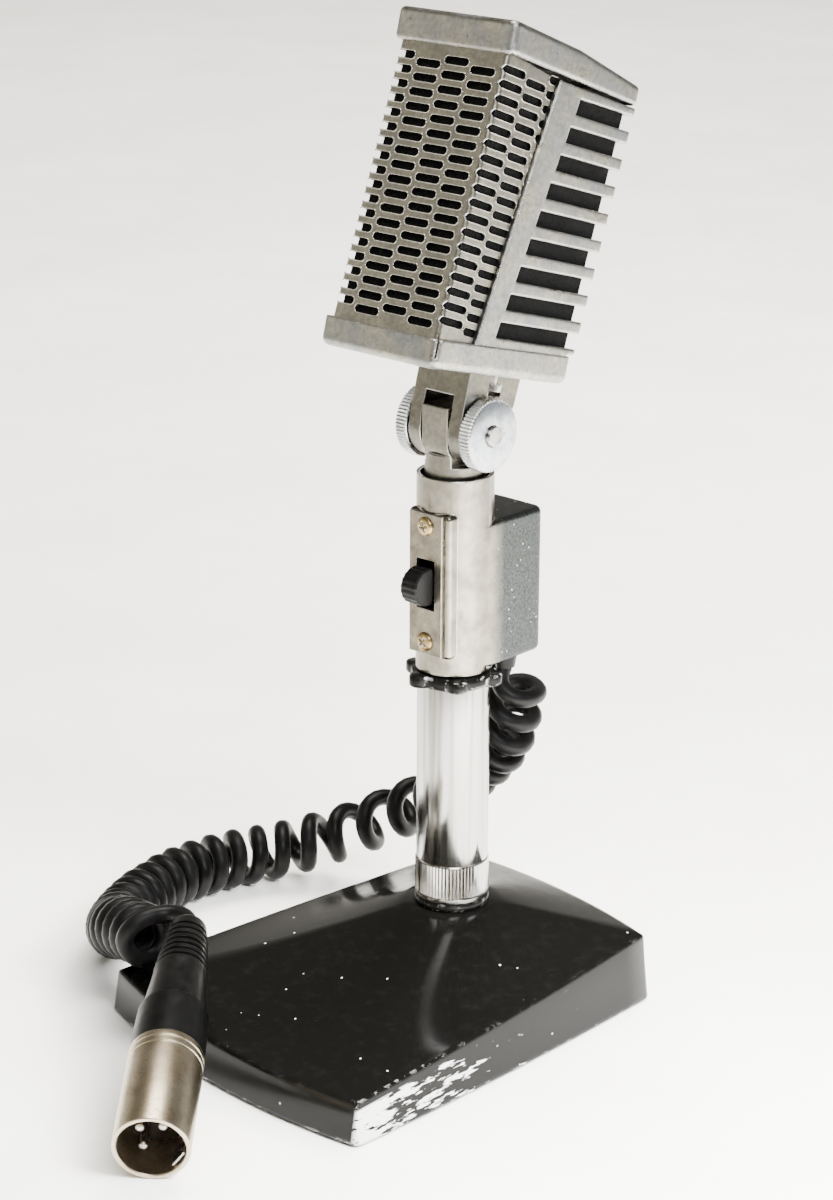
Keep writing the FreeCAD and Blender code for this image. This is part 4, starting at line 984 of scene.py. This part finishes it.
for side in (1, -1):
    start_v = depth_at(SIDE_TOP, FRONT_LOW, FRONT_HIGH) + SIDE_INSET
    rims = rolled_rims("side_rims", 3, ROWS, SIDE_PITCH * math.cos(LEAN),
                       SIDE_PITCH * math.sin(LEAN), SLOT_PITCH / math.cos(LEAN),
                       SIDE_STAGGER / math.cos(LEAN), SLOT_L, SLOT_H, BEAD, rim_nickel).mesh(
        sheared((side * GRILLE_HALF, start_v, SIDE_TOP), into_sheet, X * -side, up_sheet))
    bar_point = (0, depth_at(MIDDLE_W, BAR_LOW, BAR_HIGH) - 0.35, MIDDLE_W)
    crease = depth_at(MIDDLE_W, FRONT_LOW, FRONT_HIGH) + ROUND_CORNER * 0.55
    crease_point = (0, crease, MIDDLE_W)
    side_meshes.append(trimmed(rims, (bar_point, towards_bar), (crease_point, -into_sheet)))
rim_mesh = joined([front_rims] + side_meshes)
rim_mesh.transform(HEAD)
finished("grille_slot_rims", rim_mesh, rim_nickel, "head", crease=60.0)

# ---------------------------------------------------------------- cable connector
BORE_R, GROOVE_DEPTH = 8.3, 0.3
GROOVES = (SHELL_L - 4.4, SHELL_L - 2.2)


def shell_profile():
    """Outside of the connector's shell from the mouth back, with two fine grooves."""
    outside = arc_points(PLUG_R - 0.35, 0.35, 0.35, -90, 0, 3)
    floor_r = PLUG_R - GROOVE_DEPTH
    for z in GROOVES:
        outside += [(PLUG_R, z - 0.35), (floor_r, z - 0.15), (floor_r, z + 0.15),
                    (PLUG_R, z + 0.35)]
    outside += arc_points(PLUG_R - 0.3, SHELL_L - 0.3, 0.3, 0, 90, 3)
    return ([(BORE_R, SHELL_L), (BORE_R, 0.3), (BORE_R + 0.25, 0.0)] + outside
            + [(BORE_R, SHELL_L)])


shell_piece = finished("plug_shell_turned", turned(shell_profile(), 96, PLUG), nickel, "stand",
                       ["plug_shell"])
collar_z, COLLAR_BORE, SPIGOT_R, SPIGOT_L = SHELL_L + GAP, 6.0, BORE_R - 0.05, 4.0
collar_piece = finished(
    "plug_collar_moulded",
    turned([(r, collar_z + z) for r, z in (
        (COLLAR_BORE, -SPIGOT_L), (SPIGOT_R, -SPIGOT_L), (SPIGOT_R, 0.0), (9.05, 0.0), (9.3, 0.3),
        (9.28, 6.0), (8.95, COLLAR_L - 0.6), (8.5, COLLAR_L), (COLLAR_BORE, COLLAR_L),
        (COLLAR_BORE, -SPIGOT_L))], 72, PLUG),
    black_plastic, "stand", ["plug_collar"])
BOOT_Z, BOOT_RIBS, RIB_PITCH, BOOT_BORE = collar_z + COLLAR_L + GAP, 7, 2.35, 4.0
BOOT_TAPER = [(0.0, 8.2), (15.0, 6.8), (BOOT_L, 4.9)]      # (distance, radius)


def boot_profile():
    """Flexible sleeve: smooth at the shell, ringed near the cord, rounded at its end."""
    def taper(z):
        return between(BOOT_TAPER, z)

    outside = [(taper(z), z) for z in (0.0, 4.0, 8.0, 12.0)]
    first = BOOT_L - 4.2 - BOOT_RIBS * RIB_PITCH
    for k in range(BOOT_RIBS):
        z = first + k * RIB_PITCH
        r = taper(z)
        outside += [(r + 0.12, z), (r + 0.15, z + 0.9), (r - 0.05, z + 1.25), (r - 0.75, z + 1.45),
                    (r - 0.8, z + 2.05), (r - 0.1, z + 2.25)]
    outside += arc_points(taper(BOOT_L) - 1.6, BOOT_L - 1.6, 1.6, 0, 90, 5)
    return ([(BOOT_BORE, 0.0)] + outside
            + [(STRAND / 2 - 0.1, BOOT_L), (STRAND / 2 - 0.1, BOOT_L - 5.0),
               (BOOT_BORE, BOOT_L - 6.0), (BOOT_BORE, 0.0)])


boot_piece = finished("plug_boot_ringed",
                      turned([(r, BOOT_Z + z) for r, z in boot_profile()], 64, PLUG), boot_rubber,
                      "stand", ["plug_boot"])
PIN_R, PIN_CIRCLE, PIN_TIP_Z, PIN_ROOT_Z, PIN_TIP_H = 1.2, 4.0, 3.8, 12.2, 0.9
pins = []
for degrees in (170, 260, 350):
    a = math.radians(degrees)
    tip = [(PIN_R * math.sin(b), PIN_TIP_Z + PIN_TIP_H * (1 - math.cos(b)))
           for b in (math.radians(15 * k) for k in range(1, 7))]
    pin = turned([(0.0, PIN_TIP_Z)] + tip + [(PIN_R, PIN_ROOT_Z), (0.0, PIN_ROOT_Z)], 20)
    pin.transform(Matrix.Translation(Vector((math.cos(a), math.sin(a), 0)) * PIN_CIRCLE * MM))
    pins.append(pin)
pin_mesh = joined(pins)
pin_mesh.transform(PLUG)
pin_piece = finished("plug_pins_turned", pin_mesh, bright_steel, "stand", ["plug_pins"])

# ---------------------------------------------------------------- cord goes on its gland
cord_curve.materials.append(cord_rubber)
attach(cord_piece, "stand")
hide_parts("curly_cord", "cord_tail_body", "cord_tail_plug")


# ---------------------------------------------------------------- studio
def make_floor():
    """Pale, slightly uneven table top."""
    s = Surface("pale_table", "#f1efea", roughness=0.6)
    s.colour(s.mix(s.remap(s.noise(90.0, 4.0, 0.6), 0.35, 0.65), "#faf9f6", "#f2f0ea"))
    bm = bmesh.new()
    bmesh.ops.create_circle(bm, cap_ends=True, radius=6.0, segments=96)
    mesh = plain(bm, "table_top")
    painted(mesh, s.material)
    linked("table_top", mesh)


def panel(name, place, aim, width, height, watts, colour, mirrored=False, lighting=True):
    """Soft light panel that faces a point, all in metres. A mirrored one shows in shiny
    parts; one with no lighting shows there only."""
    data = bpy.data.lights.new(name, "AREA")
    data.shape, data.size, data.size_y = "RECTANGLE", width, height
    data.energy, data.color = watts, linear(colour)[:3]
    lamp = linked(name, data)
    lamp.location = place
    lamp.rotation_euler = (Vector(aim) - Vector(place)).to_track_quat("-Z", "Y").to_euler()
    lamp.visible_glossy, lamp.visible_diffuse = mirrored, lighting
    lamp.visible_camera = False


HORIZON, OVERHEAD = 1.9, 0.4        # how bright the room is low down and overhead


def make_world():
    """Room seen only in reflections: light and dark stretches round the stand."""
    world = bpy.data.worlds.new("studio")
    bpy.context.scene.world = world
    world.use_nodes = True
    room = Nodes(world.node_tree)
    back = room.nodes["Background"].inputs
    place = room.add("ShaderNodeTexCoord").outputs["Generated"]
    round_about = room.add("ShaderNodeTexGradient", {"Vector": place}, gradient_type="RADIAL")
    ramp = room.add("ShaderNodeValToRGB", {"Fac": round_about.outputs["Fac"]})
    stops = ramp.color_ramp
    bands = [(0.0, "#a09c94"), (0.06, "#dedacd"), (0.20, "#e8e4d8"), (0.30, "#8a8780"),
             (0.45, "#6e7074"), (0.56, "#8f959c"), (0.70, "#8a8a88"), (0.85, "#a09d96"),
             (1.0, "#a09c94")]
    while len(stops.elements) < len(bands):
        stops.elements.new(0.5)
    for stop, (position, code) in zip(stops.elements, bands):
        stop.position, stop.color = position, linear(code)
    room.feed(back["Color"], ramp.outputs["Color"])
    height = room.add("ShaderNodeSeparateXYZ", {0: place}).outputs["Z"]
    glow = room.add("ShaderNodeMapRange", {"Value": height, "From Min": 0.24, "From Max": 0.52,
                                           "To Min": HORIZON, "To Max": OVERHEAD})
    room.feed(back["Strength"], glow.outputs[0])


make_floor()
make_world()
panel("key", (0.66, -0.50, 0.80), (0.20, -0.14, 0.0), 0.45, 0.45, 9.0, "#fbfcff", True)
panel("top", (-0.10, 0.12, 1.25), (-0.02, 0.02, 0.0), 0.6, 0.6, 18.0, "#fffaf2", True, False)
panel("right_pool", (0.62, 0.52, 0.65), (0.42, 0.42, 0.0), 0.5, 0.5, 8.0, "#eef5ff")
panel("side_pool", (0.34, -0.06, 0.30), (0.34, -0.06, 0.0), 0.34, 0.2, 17.0, "#ffffff")
panel("back_wash", (-0.7, 1.0, 1.7), (-0.6, 0.8, 0.0), 1.8, 1.8, 110.0, "#fffdf8")
panel("behind_wash", (-0.08, 0.55, 0.75), (0.0, 0.15, 0.0), 0.4, 0.4, 16.0, "#fffaf0")
